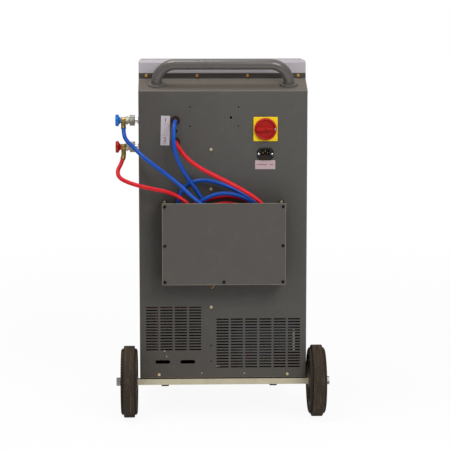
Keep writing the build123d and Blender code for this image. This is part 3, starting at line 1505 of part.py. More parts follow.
# Copper pipes: one up the face of the condenser and one from the compressor to the valve block
pipe_radius = 3.2
pipe_bend_radius = 15.0
condenser_pipe_x = -203.0
condenser_pipe_y = rear_y + condenser_inset - pipe_radius - touch_gap
pipe_turn_z = 420.0
pipe_return = 50.0
manifold_bottom_z = port_zs[2] - manifold_end
manifold_mid_y = rear_y + manifold_gap + manifold_depth / 2
pipe_routes = (
    (
        (condenser_pipe_x, condenser_pipe_y, fan_z - condenser_height / 2),
        (condenser_pipe_x, condenser_pipe_y, pipe_turn_z),
        (condenser_pipe_x, condenser_pipe_y + pipe_return, pipe_turn_z),
    ),
    (
        (*compressor_centre, pan_top_z + compressor_height),
        (*compressor_centre, pipe_turn_z),
        (port_x, manifold_mid_y, pipe_turn_z),
        (port_x, manifold_mid_y, manifold_bottom_z),
    ),
)
with BuildPart() as copper_pipes:
    for pipe_route in pipe_routes:
        with BuildLine() as pipe_line:
            FilletPolyline(*pipe_route, radius=pipe_bend_radius)
        pipe_wire = pipe_line.wires()[0]
        with BuildSketch(Plane(origin=pipe_wire @ 0, z_dir=pipe_wire % 0)):
            Circle(pipe_radius)
        sweep()
save(copper_pipes, "copper_pipes")
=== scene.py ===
"""Air conditioning recharge station, seen from behind: finishes, hoses and fine pieces around its solids."""

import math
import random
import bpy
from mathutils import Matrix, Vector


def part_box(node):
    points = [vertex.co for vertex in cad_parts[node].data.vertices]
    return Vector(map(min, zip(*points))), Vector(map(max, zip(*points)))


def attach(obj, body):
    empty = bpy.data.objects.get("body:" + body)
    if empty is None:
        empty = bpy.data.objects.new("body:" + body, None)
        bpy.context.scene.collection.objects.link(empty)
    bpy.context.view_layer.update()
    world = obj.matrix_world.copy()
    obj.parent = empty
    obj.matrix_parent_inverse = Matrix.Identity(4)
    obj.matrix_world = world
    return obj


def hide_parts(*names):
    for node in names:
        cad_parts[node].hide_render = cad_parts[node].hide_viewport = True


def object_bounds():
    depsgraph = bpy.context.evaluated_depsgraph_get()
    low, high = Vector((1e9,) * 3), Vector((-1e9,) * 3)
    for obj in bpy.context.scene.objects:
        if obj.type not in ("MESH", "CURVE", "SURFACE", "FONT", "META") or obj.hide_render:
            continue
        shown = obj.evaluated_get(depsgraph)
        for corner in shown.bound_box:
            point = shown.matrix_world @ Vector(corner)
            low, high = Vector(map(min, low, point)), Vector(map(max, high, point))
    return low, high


bl_info = {
    "name": "Recharge Station",
    "version": (1, 0, 0),
    "blender": (4, 5, 0),
    "location": "View3D > Sidebar > Station",
    "description": "Dresses a wheeled air conditioning recharge station and lights it",
    "category": "Object",
}

import bmesh
import bpy
from bpy.props import FloatProperty, FloatVectorProperty, IntProperty, PointerProperty
from mathutils import Matrix, Vector

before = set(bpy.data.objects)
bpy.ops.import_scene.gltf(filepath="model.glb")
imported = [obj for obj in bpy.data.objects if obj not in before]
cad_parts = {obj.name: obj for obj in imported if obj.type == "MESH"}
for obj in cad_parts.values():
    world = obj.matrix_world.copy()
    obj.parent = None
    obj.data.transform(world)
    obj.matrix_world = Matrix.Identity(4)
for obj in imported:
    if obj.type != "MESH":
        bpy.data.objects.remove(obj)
cad_low, cad_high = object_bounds()

MM = 0.001
IDENTITY = Matrix.Identity(4)

# Places that follow from the solids
PANEL_LOW, PANEL_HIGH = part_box("rear_panel")
REAR = PANEL_LOW.y
CABINET_LEFT = PANEL_LOW.x
TRAY_LOW, TRAY_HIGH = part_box("hose_tray")
PLATE_LOW, PLATE_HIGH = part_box("tray_front_plate")
SWITCH_LOW, SWITCH_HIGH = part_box("switch_base")
INLET_LOW, INLET_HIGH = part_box("mains_inlet")
FLOOR = cad_low.z


def linear(red, green, blue, alpha=1.0):
    """A colour given as 0 to 255 on screen, as Blender's linear values."""
    parts = [value / 255 for value in (red, green, blue)]
    return tuple(((p + 0.055) / 1.055) ** 2.4 if p > 0.04045 else p / 12.92 for p in parts) + (alpha,)


# Colours of the finishes, as they look on screen
GREY_COAT = linear(82, 80, 77)
# Painted shade: the cabinet's powder coat darkened for the parts that sit in shadow, the base pan, partition and hose
# tray
SHADED_COAT = linear(62, 57, 51)
FLOOR_DUST = linear(78, 64, 50)
# Painted highlight colour along the edges of the rear panel and the tray plate
EDGE_HIGHLIGHT = linear(150, 140, 120)
# Painted shade colour, brown, round the tray, on the cabinet's left and under the console
PAINTED_SHADE_BROWN = linear(48, 39, 31)
BARE_STEEL = linear(168, 163, 155)
PALE_GREY = linear(176, 170, 176)
YELLOW = linear(244, 208, 6)
RED = linear(172, 16, 8)
BLUE_HOSE = linear(4, 74, 170)
RED_HOSE = linear(212, 14, 32)
BRASS = linear(168, 142, 78)
DARK_BRASS = linear(60, 42, 26)
NICKEL = linear(176, 172, 158)
CHROME = linear(214, 214, 216)
GALVANISED = linear(206, 197, 170)
TYRE = linear(28, 21, 15)
TYRE_DUST = linear(112, 94, 72)
RIM = linear(98, 88, 84)
BLACK = linear(26, 24, 22)
BROWN = linear(44, 33, 25)
LABEL = linear(190, 182, 188)
INK = linear(44, 40, 42)
MAROON = linear(88, 26, 44)
ALUMINIUM = linear(172, 174, 176)
COPPER = linear(150, 92, 54)
PUMP_BLUE = linear(38, 52, 74)
TANK_GREY = linear(104, 110, 114)
BOARD_GREEN = linear(22, 86, 44)
PAPER = linear(236, 234, 228)
MILKY = linear(214, 214, 202)
OIL = linear(196, 150, 52)
GREEN_KEY = linear(30, 130, 62)
WHITE = linear(232, 232, 230)
SCREEN = linear(28, 44, 40)
SCREEN_INK = linear(150, 196, 150)
SCREW_STEEL = linear(30, 26, 21)
CABLE_WHITE = linear(242, 232, 212)


class Graph:
    """Adds the nodes of one tree and joins them."""

    def __init__(self, tree):
        self.tree = tree

    def add(self, kind, settings=None, **inputs):
        """A new node with its settings, and its inputs by name: a value, or a socket to join."""
        node = self.tree.nodes.new(kind)
        for name, value in (settings or {}).items():
            setattr(node, name, value)
        for name, value in inputs.items():
            socket = node.inputs[name.replace("_", " ")]
            if isinstance(value, bpy.types.NodeSocket):
                self.tree.links.new(value, socket)
            else:
                socket.default_value = value
        return node

    def join(self, source, target):
        self.tree.links.new(source, target)

    def math(self, operation, first, second=0.0, clamp=False):
        """The result socket of a Math node."""
        node = self.tree.nodes.new("ShaderNodeMath")
        node.operation = operation
        node.use_clamp = clamp
        for socket, value in zip(node.inputs, (first, second)):
            if isinstance(value, bpy.types.NodeSocket):
                self.tree.links.new(value, socket)
            else:
                socket.default_value = value
        return node.outputs[0]

    def mix(self, factor, first, second):
        """The result socket of a colour Mix node."""
        node = self.tree.nodes.new("ShaderNodeMix")
        node.data_type = "RGBA"
        for index, value in ((0, factor), (6, first), (7, second)):
            socket = node.inputs[index]
            if isinstance(value, bpy.types.NodeSocket):
                self.tree.links.new(value, socket)
            else:
                socket.default_value = value
        return node.outputs[2]

    def ramp(self, value, low, high, start=0.0, end=1.0):
        """value moved from the range low to high into start to end, clamped."""
        node = self.tree.nodes.new("ShaderNodeMapRange")
        for index, item in enumerate((value, low, high, start, end)):
            if isinstance(item, bpy.types.NodeSocket):
                self.tree.links.new(item, node.inputs[index])
            else:
                node.inputs[index].default_value = item
        return node.outputs[0]


def new_group(name, inputs, outputs):
    """A shader node group with named sockets, and its graph, inputs and outputs."""
    tree = bpy.data.node_groups.new(name, "ShaderNodeTree")
    for label, kind, value in inputs:
        socket = tree.interface.new_socket(label, in_out="INPUT", socket_type=kind)
        socket.default_value = value
    for label, kind in outputs:
        tree.interface.new_socket(label, in_out="OUTPUT", socket_type=kind)
    graph = Graph(tree)
    source = graph.add("NodeGroupInput")
    target = graph.add("NodeGroupOutput")
    return tree, graph, source.outputs, target.inputs


FLOAT = "NodeSocketFloat"
COLOUR = "NodeSocketColor"


def make_grain():
    """Fine pebbled surface of powder coat and grained mouldings."""
    tree, graph, given, made = new_group(
        "Fine Grain",
        [("Size", FLOAT, 0.0008), ("Roughness", FLOAT, 0.5), ("Spread", FLOAT, 0.1)],
        [("Height", FLOAT), ("Roughness", FLOAT)],
    )
    place = graph.add("ShaderNodeTexCoord").outputs["Object"]
    scale = graph.math("DIVIDE", 1.0, given["Size"])
    fine = graph.add("ShaderNodeTexNoise", Vector=place, Scale=scale, Detail=2.0)
    broad = graph.add("ShaderNodeTexNoise", Vector=place, Scale=9.0, Detail=4.0)
    graph.join(fine.outputs["Fac"], made["Height"])
    shift = graph.math("MULTIPLY", graph.math("SUBTRACT", broad.outputs["Fac"], 0.5), given["Spread"])
    graph.join(graph.math("ADD", given["Roughness"], shift, clamp=True), made["Roughness"])
    return tree


def make_dirt():
    """Mottled colour with dust that gathers towards the floor and on faces that look up."""
    tree, graph, given, made = new_group(
        "Dust",
        [
            ("Colour", COLOUR, (0.5, 0.5, 0.5, 1.0)),
            ("Dust Colour", COLOUR, (0.3, 0.25, 0.2, 1.0)),
            ("Mottle", FLOAT, 0.1),
            ("Low Dust", FLOAT, 0.3),
            ("Dust Height", FLOAT, 0.35),
            ("Top Dust", FLOAT, 0.4),
            ("Specks", FLOAT, 0.2),
        ],
        [("Colour", COLOUR), ("Dust", FLOAT)],
    )
    place = graph.add("ShaderNodeTexCoord").outputs["Object"]
    height = graph.add("ShaderNodeSeparateXYZ", Vector=place).outputs["Z"]
    facing = graph.add("ShaderNodeSeparateXYZ", Vector=graph.add("ShaderNodeNewGeometry").outputs["Normal"])
    cloud = graph.add("ShaderNodeTexNoise", Vector=place, Scale=5.0, Detail=6.0, Roughness=0.62)
    cloud = cloud.outputs["Fac"]
    streak_place = graph.add("ShaderNodeMapping", Vector=place, Scale=(42.0, 42.0, 3.2))
    streak = graph.add("ShaderNodeTexNoise", Vector=streak_place.outputs[0], Scale=1.0, Detail=3.0)
    speck = graph.add("ShaderNodeTexNoise", Vector=place, Scale=420.0, Detail=2.0)
    speck = graph.ramp(speck.outputs["Fac"], 0.63, 0.72)
    shade = graph.math("MULTIPLY", graph.math("SUBTRACT", cloud, 0.5), given["Mottle"])
    streaks = graph.math("MULTIPLY", graph.math("SUBTRACT", streak.outputs["Fac"], 0.5), given["Mottle"])
    value = graph.math("ADD", 1.0, graph.math("ADD", shade, graph.math("MULTIPLY", streaks, 0.6)))
    base = graph.add("ShaderNodeHueSaturation", Value=value, Color=given["Colour"]).outputs[0]
    low = graph.ramp(height, given["Dust Height"], 0.0)
    low = graph.math("MULTIPLY", low, given["Low Dust"])
    low = graph.math("MULTIPLY", low, graph.ramp(cloud, 0.25, 0.75, 0.45, 1.25))
    top = graph.math("MULTIPLY", graph.ramp(facing.outputs["Z"], 0.35, 0.95), given["Top Dust"])
    top = graph.math("MULTIPLY", top, graph.ramp(cloud, 0.3, 0.7, 0.55, 1.1))
    flecks = graph.math("MULTIPLY", speck, given["Specks"])
    dust = graph.math("ADD", graph.math("ADD", low, top), flecks, clamp=True)
    graph.join(graph.mix(dust, base, given["Dust Colour"]), made["Colour"])
    graph.join(dust, made["Dust"])
    return tree


def make_scratches():
    """Mask of short fine scratches that run in several directions."""
    tree, graph, given, made = new_group(
        "Fine Scratches",
        [("Amount", FLOAT, 0.5), ("Scale", FLOAT, 30.0)],
        [("Mask", FLOAT)],
    )
    place = graph.add("ShaderNodeTexCoord").outputs["Object"]
    total = None
    for turn, seed in ((0.35, 1.3), (1.25, 5.1), (-0.6, 9.7)):
        turned = graph.add(
            "ShaderNodeMapping", Vector=place, Rotation=(turn, turn * 0.7, turn), Location=(seed, seed, seed)
        )
        stretched = graph.add("ShaderNodeMapping", Vector=turned.outputs[0], Scale=(0.05, 1.0, 1.0))
        noise = graph.add(
            "ShaderNodeTexNoise", Vector=stretched.outputs[0],
            Scale=graph.math("MULTIPLY", given["Scale"], 14.0), Detail=1.0,
        )
        line = graph.ramp(graph.math("ABSOLUTE", graph.math("SUBTRACT", noise.outputs["Fac"], 0.5)), 0.006, 0.0)
        where = graph.add("ShaderNodeTexNoise", Vector=turned.outputs[0], Scale=given["Scale"], Detail=1.0)
        line = graph.math("MULTIPLY", line, graph.ramp(where.outputs["Fac"], 0.6, 0.68))
        total = line if total is None else graph.math("MAXIMUM", total, line)
    graph.join(graph.math("MULTIPLY", total, given["Amount"], clamp=True), made["Mask"])
    return tree


GROUPS = {}


def group(graph, name, **inputs):
    """One of the shared effects, placed in a material's graph."""
    makers = {"Fine Grain": make_grain, "Dust": make_dirt, "Fine Scratches": make_scratches}
    if name not in GROUPS:
        GROUPS[name] = makers[name]()
    node = graph.add("ShaderNodeGroup", {"node_tree": GROUPS[name]})
    for label, value in inputs.items():
        node.inputs[label.replace("_", " ")].default_value = value
    return node.outputs


def new_material(name, **constants):
    """A material with its Principled shader, whose plain sockets are set by name."""
    material = bpy.data.materials.new(name)
    material.use_nodes = True
    tree = material.node_tree
    shader = tree.nodes["Principled BSDF"]
    for label, value in constants.items():
        shader.inputs[label.replace("_", " ")].default_value = value
    return material, Graph(tree), shader.inputs


def set_bump(graph, shader, height, distance, strength=1.0):
    """Feeds a height into the shader's normal."""
    bump = graph.add("ShaderNodeBump", Height=height, Distance=distance, Strength=strength)
    graph.join(bump.outputs[0], shader["Normal"])


def coat(name, colour, roughness=0.5, grain_size=0.0011, bump=0.00006, dust_colour=FLOOR_DUST, mottle=0.12,
         low_dust=0.25, top_dust=0.3, specks=0.12, scratches=0.35, bare=BARE_STEEL, metallic=0.0, **constants):
    """A painted, plated or moulded finish with grain, dust, and scratches down to what lies under it."""
    constants.setdefault("Specular_IOR_Level", 0.25)
    material, graph, shader = new_material(name, **constants)
    dust = group(
        graph, "Dust", Colour=colour, Dust_Colour=dust_colour, Mottle=mottle, Low_Dust=low_dust,
        Top_Dust=top_dust, Specks=specks,
    )
    grain = group(graph, "Fine Grain", Size=grain_size, Roughness=roughness, Spread=0.14)
    lines = group(graph, "Fine Scratches", Amount=scratches, Scale=26.0)
    graph.join(graph.mix(lines["Mask"], dust["Colour"], bare), shader["Base Color"])
    rough = graph.math("ADD", grain["Roughness"], graph.math("MULTIPLY", dust["Dust"], 0.3), clamp=True)
    graph.join(rough, shader["Roughness"])
    shader["Metallic"].default_value = metallic
    if metallic:
        graph.join(graph.math("SUBTRACT", metallic, dust["Dust"], clamp=True), shader["Metallic"])
    height = graph.math("SUBTRACT", grain["Height"], graph.math("MULTIPLY", lines["Mask"], 0.8))
    set_bump(graph, shader, height, bump)
    return material


CHIPS = ((-179.6, 207.5, 3.4, 2.2), (-173.5, 190.3, 2.0, 2.8), (-15.6, 159.5, 9.0, 1.0), (58.5, 193.4, 1.9, 1.5))
CHIP_LEANS = (0.3, 0.0, 0.1, 0.0)
EDGE_WIDTH = 1.7 * MM


def edge_highlight_mask(graph, low, high):
    """Mask of painted highlights along the edges of a flat plate that faces the rear, uneven along their length."""
    place = graph.add("ShaderNodeTexCoord").outputs["Object"]
    parts = graph.add("ShaderNodeSeparateXYZ", Vector=place).outputs
    near = None
    for axis, start, end in (("X", low.x, high.x), ("Z", low.z, high.z)):
        out = graph.math("ABSOLUTE", graph.math("SUBTRACT", parts[axis], (start + end) / 2))
        edge = graph.ramp(out, (end - start) / 2 - EDGE_WIDTH, (end - start) / 2 - EDGE_WIDTH / 3)
        near = edge if near is None else graph.math("MAXIMUM", near, edge)
    uneven = graph.add("ShaderNodeTexNoise", Vector=place, Scale=34.0, Detail=4.0).outputs["Fac"]
    return graph.math("MULTIPLY", near, graph.ramp(uneven, 0.3, 0.7, 0.35, 0.95))


def painted_shade_mask(graph):
    """Mask of painted brown shade round and below the tray, on the cabinet's left, and under the console."""
    place = graph.add("ShaderNodeTexCoord").outputs["Object"]
    parts = graph.add("ShaderNodeSeparateXYZ", Vector=place).outputs
    squares = None
    for axis, start, end in (("X", TRAY_LOW.x, TRAY_HIGH.x), ("Z", TRAY_LOW.z, TRAY_HIGH.z)):
        out = graph.math("ABSOLUTE", graph.math("SUBTRACT", parts[axis], (start + end) / 2))
        past = graph.math("MAXIMUM", graph.math("SUBTRACT", out, (end - start) / 2), 0.0)
        square = graph.math("MULTIPLY", past, past)
        squares = square if squares is None else graph.math("ADD", squares, square)
    # Painted shadow of the tray, round and below it, stronger on its left
    around = graph.ramp(graph.math("SQRT", squares), PAINTED_SHADE_REACH, 0.0, 0.0, 0.5)
    around = graph.math("MULTIPLY", around, graph.ramp(parts["X"], TRAY_HIGH.x, TRAY_LOW.x, 0.45, 1.0))
    # Painted shade over the cabinet's left side
    left = graph.ramp(parts["X"], 0.0, PANEL_LOW.x, 0.0, 0.3)
    # Painted shade under the console's overhang
    top = graph.ramp(parts["Z"], PANEL_HIGH.z - 20 * MM, PANEL_HIGH.z - 17 * MM, 0.0, 0.5)
    cloud = graph.add("ShaderNodeTexNoise", Vector=place, Scale=6.0, Detail=4.0).outputs["Fac"]
    total = graph.math("MAXIMUM", graph.math("MAXIMUM", around, left), top)
    return graph.math("MULTIPLY", total, graph.ramp(cloud, 0.3, 0.7, 0.7, 1.1))


# How far the painted shadow reaches from the tray
PAINTED_SHADE_REACH = 0.085


def chip_mask(graph):
    """Mask of the paint chips and scrapes at their places on the rear panel, with ragged edges."""
    place = graph.add("ShaderNodeTexCoord").outputs["Object"]
    ragged = graph.add("ShaderNodeTexNoise", Vector=place, Scale=700.0, Detail=2.0).outputs["Fac"]
    total = None
    for (x, z, half_x, half_z), lean in zip(CHIPS, CHIP_LEANS):
        moved = graph.add(
            "ShaderNodeMapping", {"vector_type": "TEXTURE"}, Vector=place,
            Location=(x * MM, REAR, z * MM), Rotation=(0.0, lean, 0.0), Scale=(half_x * MM, 4 * MM, half_z * MM),
        )
        reach = graph.add("ShaderNodeVectorMath", {"operation": "LENGTH"})
        graph.join(moved.outputs[0], reach.inputs[0])
        soft = graph.math("ADD", reach.outputs["Value"], graph.math("MULTIPLY", ragged, 0.8))
        chip = graph.ramp(soft, 1.35, 1.15)
        total = chip if total is None else graph.math("MAXIMUM", total, chip)
    return total


def grey_panel():
    """The cabinet's powder coat, with the chips and scrapes of its rear face, painted brown shade round the tray,
    painted light on the slope and painted highlights along the edges.
    """
    material = coat("grey powder coat", GREY_COAT, roughness=0.56, mottle=0.13, low_dust=0.4)
    # Painted shade, painted light on the slope and painted highlights on the edges, then the real paint chips
    layers = (
        (painted_shade_mask, PAINTED_SHADE_BROWN), (slope_light_mask, linear(132, 122, 110)), (panel_edge_highlights, EDGE_HIGHLIGHT),
        (chip_mask, linear(160, 154, 144)),
    )
    return painted_over(material, layers)


def slope_light_mask(graph):
    """Mask of painted light on the folded slope, and brighter painted highlights along its two bends."""
    place = graph.add("ShaderNodeTexCoord").outputs["Object"]
    height = graph.add("ShaderNodeSeparateXYZ", Vector=place).outputs["Z"]
    low = PANEL_HIGH.z - SLOPE_SPAN[0]
    high = PANEL_HIGH.z - SLOPE_SPAN[1]
    inside = graph.math("MULTIPLY", graph.ramp(height, low - 2 * MM, low), graph.ramp(height, high + 2 * MM, high))
    total = graph.math("MULTIPLY", inside, 0.4)
    # Painted highlights along the two bends
    for bend in (low, high):
        reach = graph.math("ABSOLUTE", graph.math("SUBTRACT", height, bend))
        total = graph.math("MAXIMUM", total, graph.ramp(reach, 1.8 * MM, 0.4 * MM, 0.0, 0.7))
    cloud = graph.add("ShaderNodeTexNoise", Vector=place, Scale=9.0, Detail=4.0).outputs["Fac"]
    return graph.math("MULTIPLY", total, graph.ramp(cloud, 0.3, 0.7, 0.75, 1.0))


SLOPE_SPAN = (50.5 * MM, 18.5 * MM)


def panel_edge_highlights(graph):
    """Mask of painted highlights along the rear panel's edges, fainter than the tray plate's."""
    return graph.math("MULTIPLY", edge_highlight_mask(graph, PANEL_LOW, PANEL_HIGH), 0.6)


def painted_over(material, layers):
    """Lays further colours over a finish, each where its mask says."""
    graph = Graph(material.node_tree)
    base = material.node_tree.nodes["Principled BSDF"].inputs["Base Color"]
    for mask, colour in layers:
        graph.join(graph.mix(mask(graph), base.links[0].from_socket, colour), base)
    return material


def tray_plate():
    """The tray's front plate, with a paler line of painted highlight along its edges."""
    material = coat("tray plate coat", linear(83, 80, 76), roughness=0.58, mottle=0.1, low_dust=0.0)
    return painted_over(material, ((lambda graph: edge_highlight_mask(graph, PLATE_LOW, PLATE_HIGH), EDGE_HIGHLIGHT),))


def screw_plating():
    """Zinc plated panel screws, yellow along the top and faded to cream lower down."""
    material = tinted_steel("screw plating", linear(206, 188, 156), 0.42, mottle=0.2, dust=0.1, metallic=0.55)

    def top_row(graph):
        place = graph.add("ShaderNodeTexCoord").outputs["Object"]
        height = graph.add("ShaderNodeSeparateXYZ", Vector=place).outputs["Z"]
        return graph.math("MULTIPLY", graph.ramp(height, PANEL_HIGH.z - 0.1, PANEL_HIGH.z - 0.08), 0.9)

    return painted_over(material, ((top_row, linear(206, 142, 62)),))


def tinted_steel(name, colour, roughness, mottle=0.25, dust=0.1, metallic=1.0, grain=0.0006, bump=0.00002):
    """Plated or bare metal with uneven tarnish."""
    return coat(
        name, colour, roughness=roughness, grain_size=grain, bump=bump, mottle=mottle, low_dust=dust,
        top_dust=dust, specks=0.06, scratches=0.25, metallic=metallic, Specular_IOR_Level=0.5,
    )


def rubber(name, colour, dust_colour, dusty):
    """Rubber with dust in its pores."""
    return coat(
        name, colour, roughness=0.72, grain_size=0.0016, bump=0.00012, dust_colour=dust_colour, mottle=0.3,
        low_dust=dusty, top_dust=dusty, specks=0.35, scratches=0.0, Specular_IOR_Level=0.3,
    )


def dusty_tyre():
    """Tyre rubber with pale streaks of dust that run round the tread and its side walls."""
    material = rubber("dusty tyre", TYRE, TYRE_DUST, 0.16)
    graph = Graph(material.node_tree)
    shader = material.node_tree.nodes["Principled BSDF"].inputs
    low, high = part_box("left_tyre")
    middle = (low + high) / 2
    place = graph.add("ShaderNodeTexCoord").outputs["Object"]
    parts = graph.add("ShaderNodeSeparateXYZ", Vector=place).outputs
    across = graph.math("SUBTRACT", parts["Y"], middle.y)
    up = graph.math("SUBTRACT", parts["Z"], middle.z)
    turn = graph.math("ARCTAN2", up, across)
    squares = graph.math("ADD", graph.math("MULTIPLY", across, across), graph.math("MULTIPLY", up, up))
    reach = graph.math("SQRT", squares)
    spot = graph.add(
        "ShaderNodeCombineXYZ", X=graph.math("MULTIPLY", parts["X"], 330.0),
        Y=graph.math("MULTIPLY", graph.math("SINE", turn), 1.2), Z=graph.math("MULTIPLY", reach, 90.0),
    ).outputs[0]
    streak = graph.add("ShaderNodeTexNoise", Vector=spot, Scale=1.0, Detail=4.0, Roughness=0.65).outputs["Fac"]
    painted = shader["Base Color"].links[0].from_socket
    graph.join(graph.mix(graph.ramp(streak, 0.56, 0.66, 0.0, 0.8), painted, TYRE_DUST), shader["Base Color"])
    return material


def hose_jacket(name, colour):
    """Smooth hose jacket with faint rings from its braid and a little dust."""
    material, graph, shader = new_material(name, Specular_IOR_Level=0.28)
    place = graph.add("ShaderNodeTexCoord").outputs["Object"]
    cloud = graph.add("ShaderNodeTexNoise", Vector=place, Scale=16.0, Detail=4.0).outputs["Fac"]
    dust = group(
        graph, "Dust", Colour=colour, Dust_Colour=linear(150, 140, 130), Mottle=0.2, Low_Dust=0.0,
        Top_Dust=0.04, Specks=0.1,
    )
    graph.join(dust["Colour"], shader["Base Color"])
    graph.join(graph.ramp(cloud, 0.3, 0.7, 0.3, 0.46), shader["Roughness"])
    braid = graph.add("ShaderNodeTexNoise", Vector=place, Scale=700.0, Detail=1.0).outputs["Fac"]
    set_bump(graph, shader, braid, 0.00003)
    return material


def clear_plastic(name, tint, roughness=0.04):
    """Clear window or lens."""
    material, graph, shader = new_material(name, Transmission_Weight=1.0, IOR=1.45, Metallic=0.0)
    place = graph.add("ShaderNodeTexCoord").outputs["Object"]
    smear = graph.add("ShaderNodeTexNoise", Vector=place, Scale=60.0, Detail=3.0).outputs["Fac"]
    graph.join(graph.mix(smear, tint, WHITE), shader["Base Color"])
    graph.join(graph.ramp(smear, 0.4, 0.8, roughness, roughness + 0.08), shader["Roughness"])
    return material


def bottle_plastic():
    """Milky bottles that show the oil inside, under dark screw caps."""
    material, graph, shader = new_material("milky bottle", Subsurface_Weight=0.1, Specular_IOR_Level=0.4)
    place = graph.add("ShaderNodeTexCoord").outputs["Object"]
    parts = graph.add("ShaderNodeSeparateXYZ", Vector=place).outputs
    low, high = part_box("oil_bottles")
    cap = graph.math("GREATER_THAN", parts["Z"], high.z - 24 * MM)
    oil = graph.math("LESS_THAN", parts["Z"], low.z + 0.5 * (high.z - low.z))
    cloud = graph.add("ShaderNodeTexNoise", Vector=place, Scale=30.0, Detail=3.0).outputs["Fac"]
    milk = graph.mix(graph.ramp(cloud, 0.3, 0.7, 0.0, 0.25), MILKY, WHITE)
    body = graph.mix(graph.math("MULTIPLY", oil, 0.75), milk, OIL)
    graph.join(graph.mix(cap, body, BLACK), shader["Base Color"])
    graph.join(graph.ramp(cap, 0.0, 1.0, 0.32, 0.5), shader["Roughness"])
    ridge = graph.add("ShaderNodeTexWave", {"bands_direction": "Z"}, Vector=place, Scale=60.0).outputs["Fac"]
    set_bump(graph, shader, graph.math("MULTIPLY", ridge, cap), 0.0003)
    return material


def glowing_screen():
    """Dark panel behind the display window, lit faintly from behind."""
    material, graph, shader = new_material("display screen", Emission_Strength=0.35)
    place = graph.add("ShaderNodeTexCoord").outputs["Object"]
    cells = graph.add("ShaderNodeTexNoise", Vector=place, Scale=18.0, Detail=2.0).outputs["Fac"]
    tone = graph.mix(graph.ramp(cells, 0.3, 0.7), SCREEN, linear(34, 58, 52))
    graph.join(tone, shader["Base Color"])
    graph.join(tone, shader["Emission Color"])
    graph.join(graph.ramp(cells, 0.3, 0.7, 0.35, 0.5), shader["Roughness"])
    return material


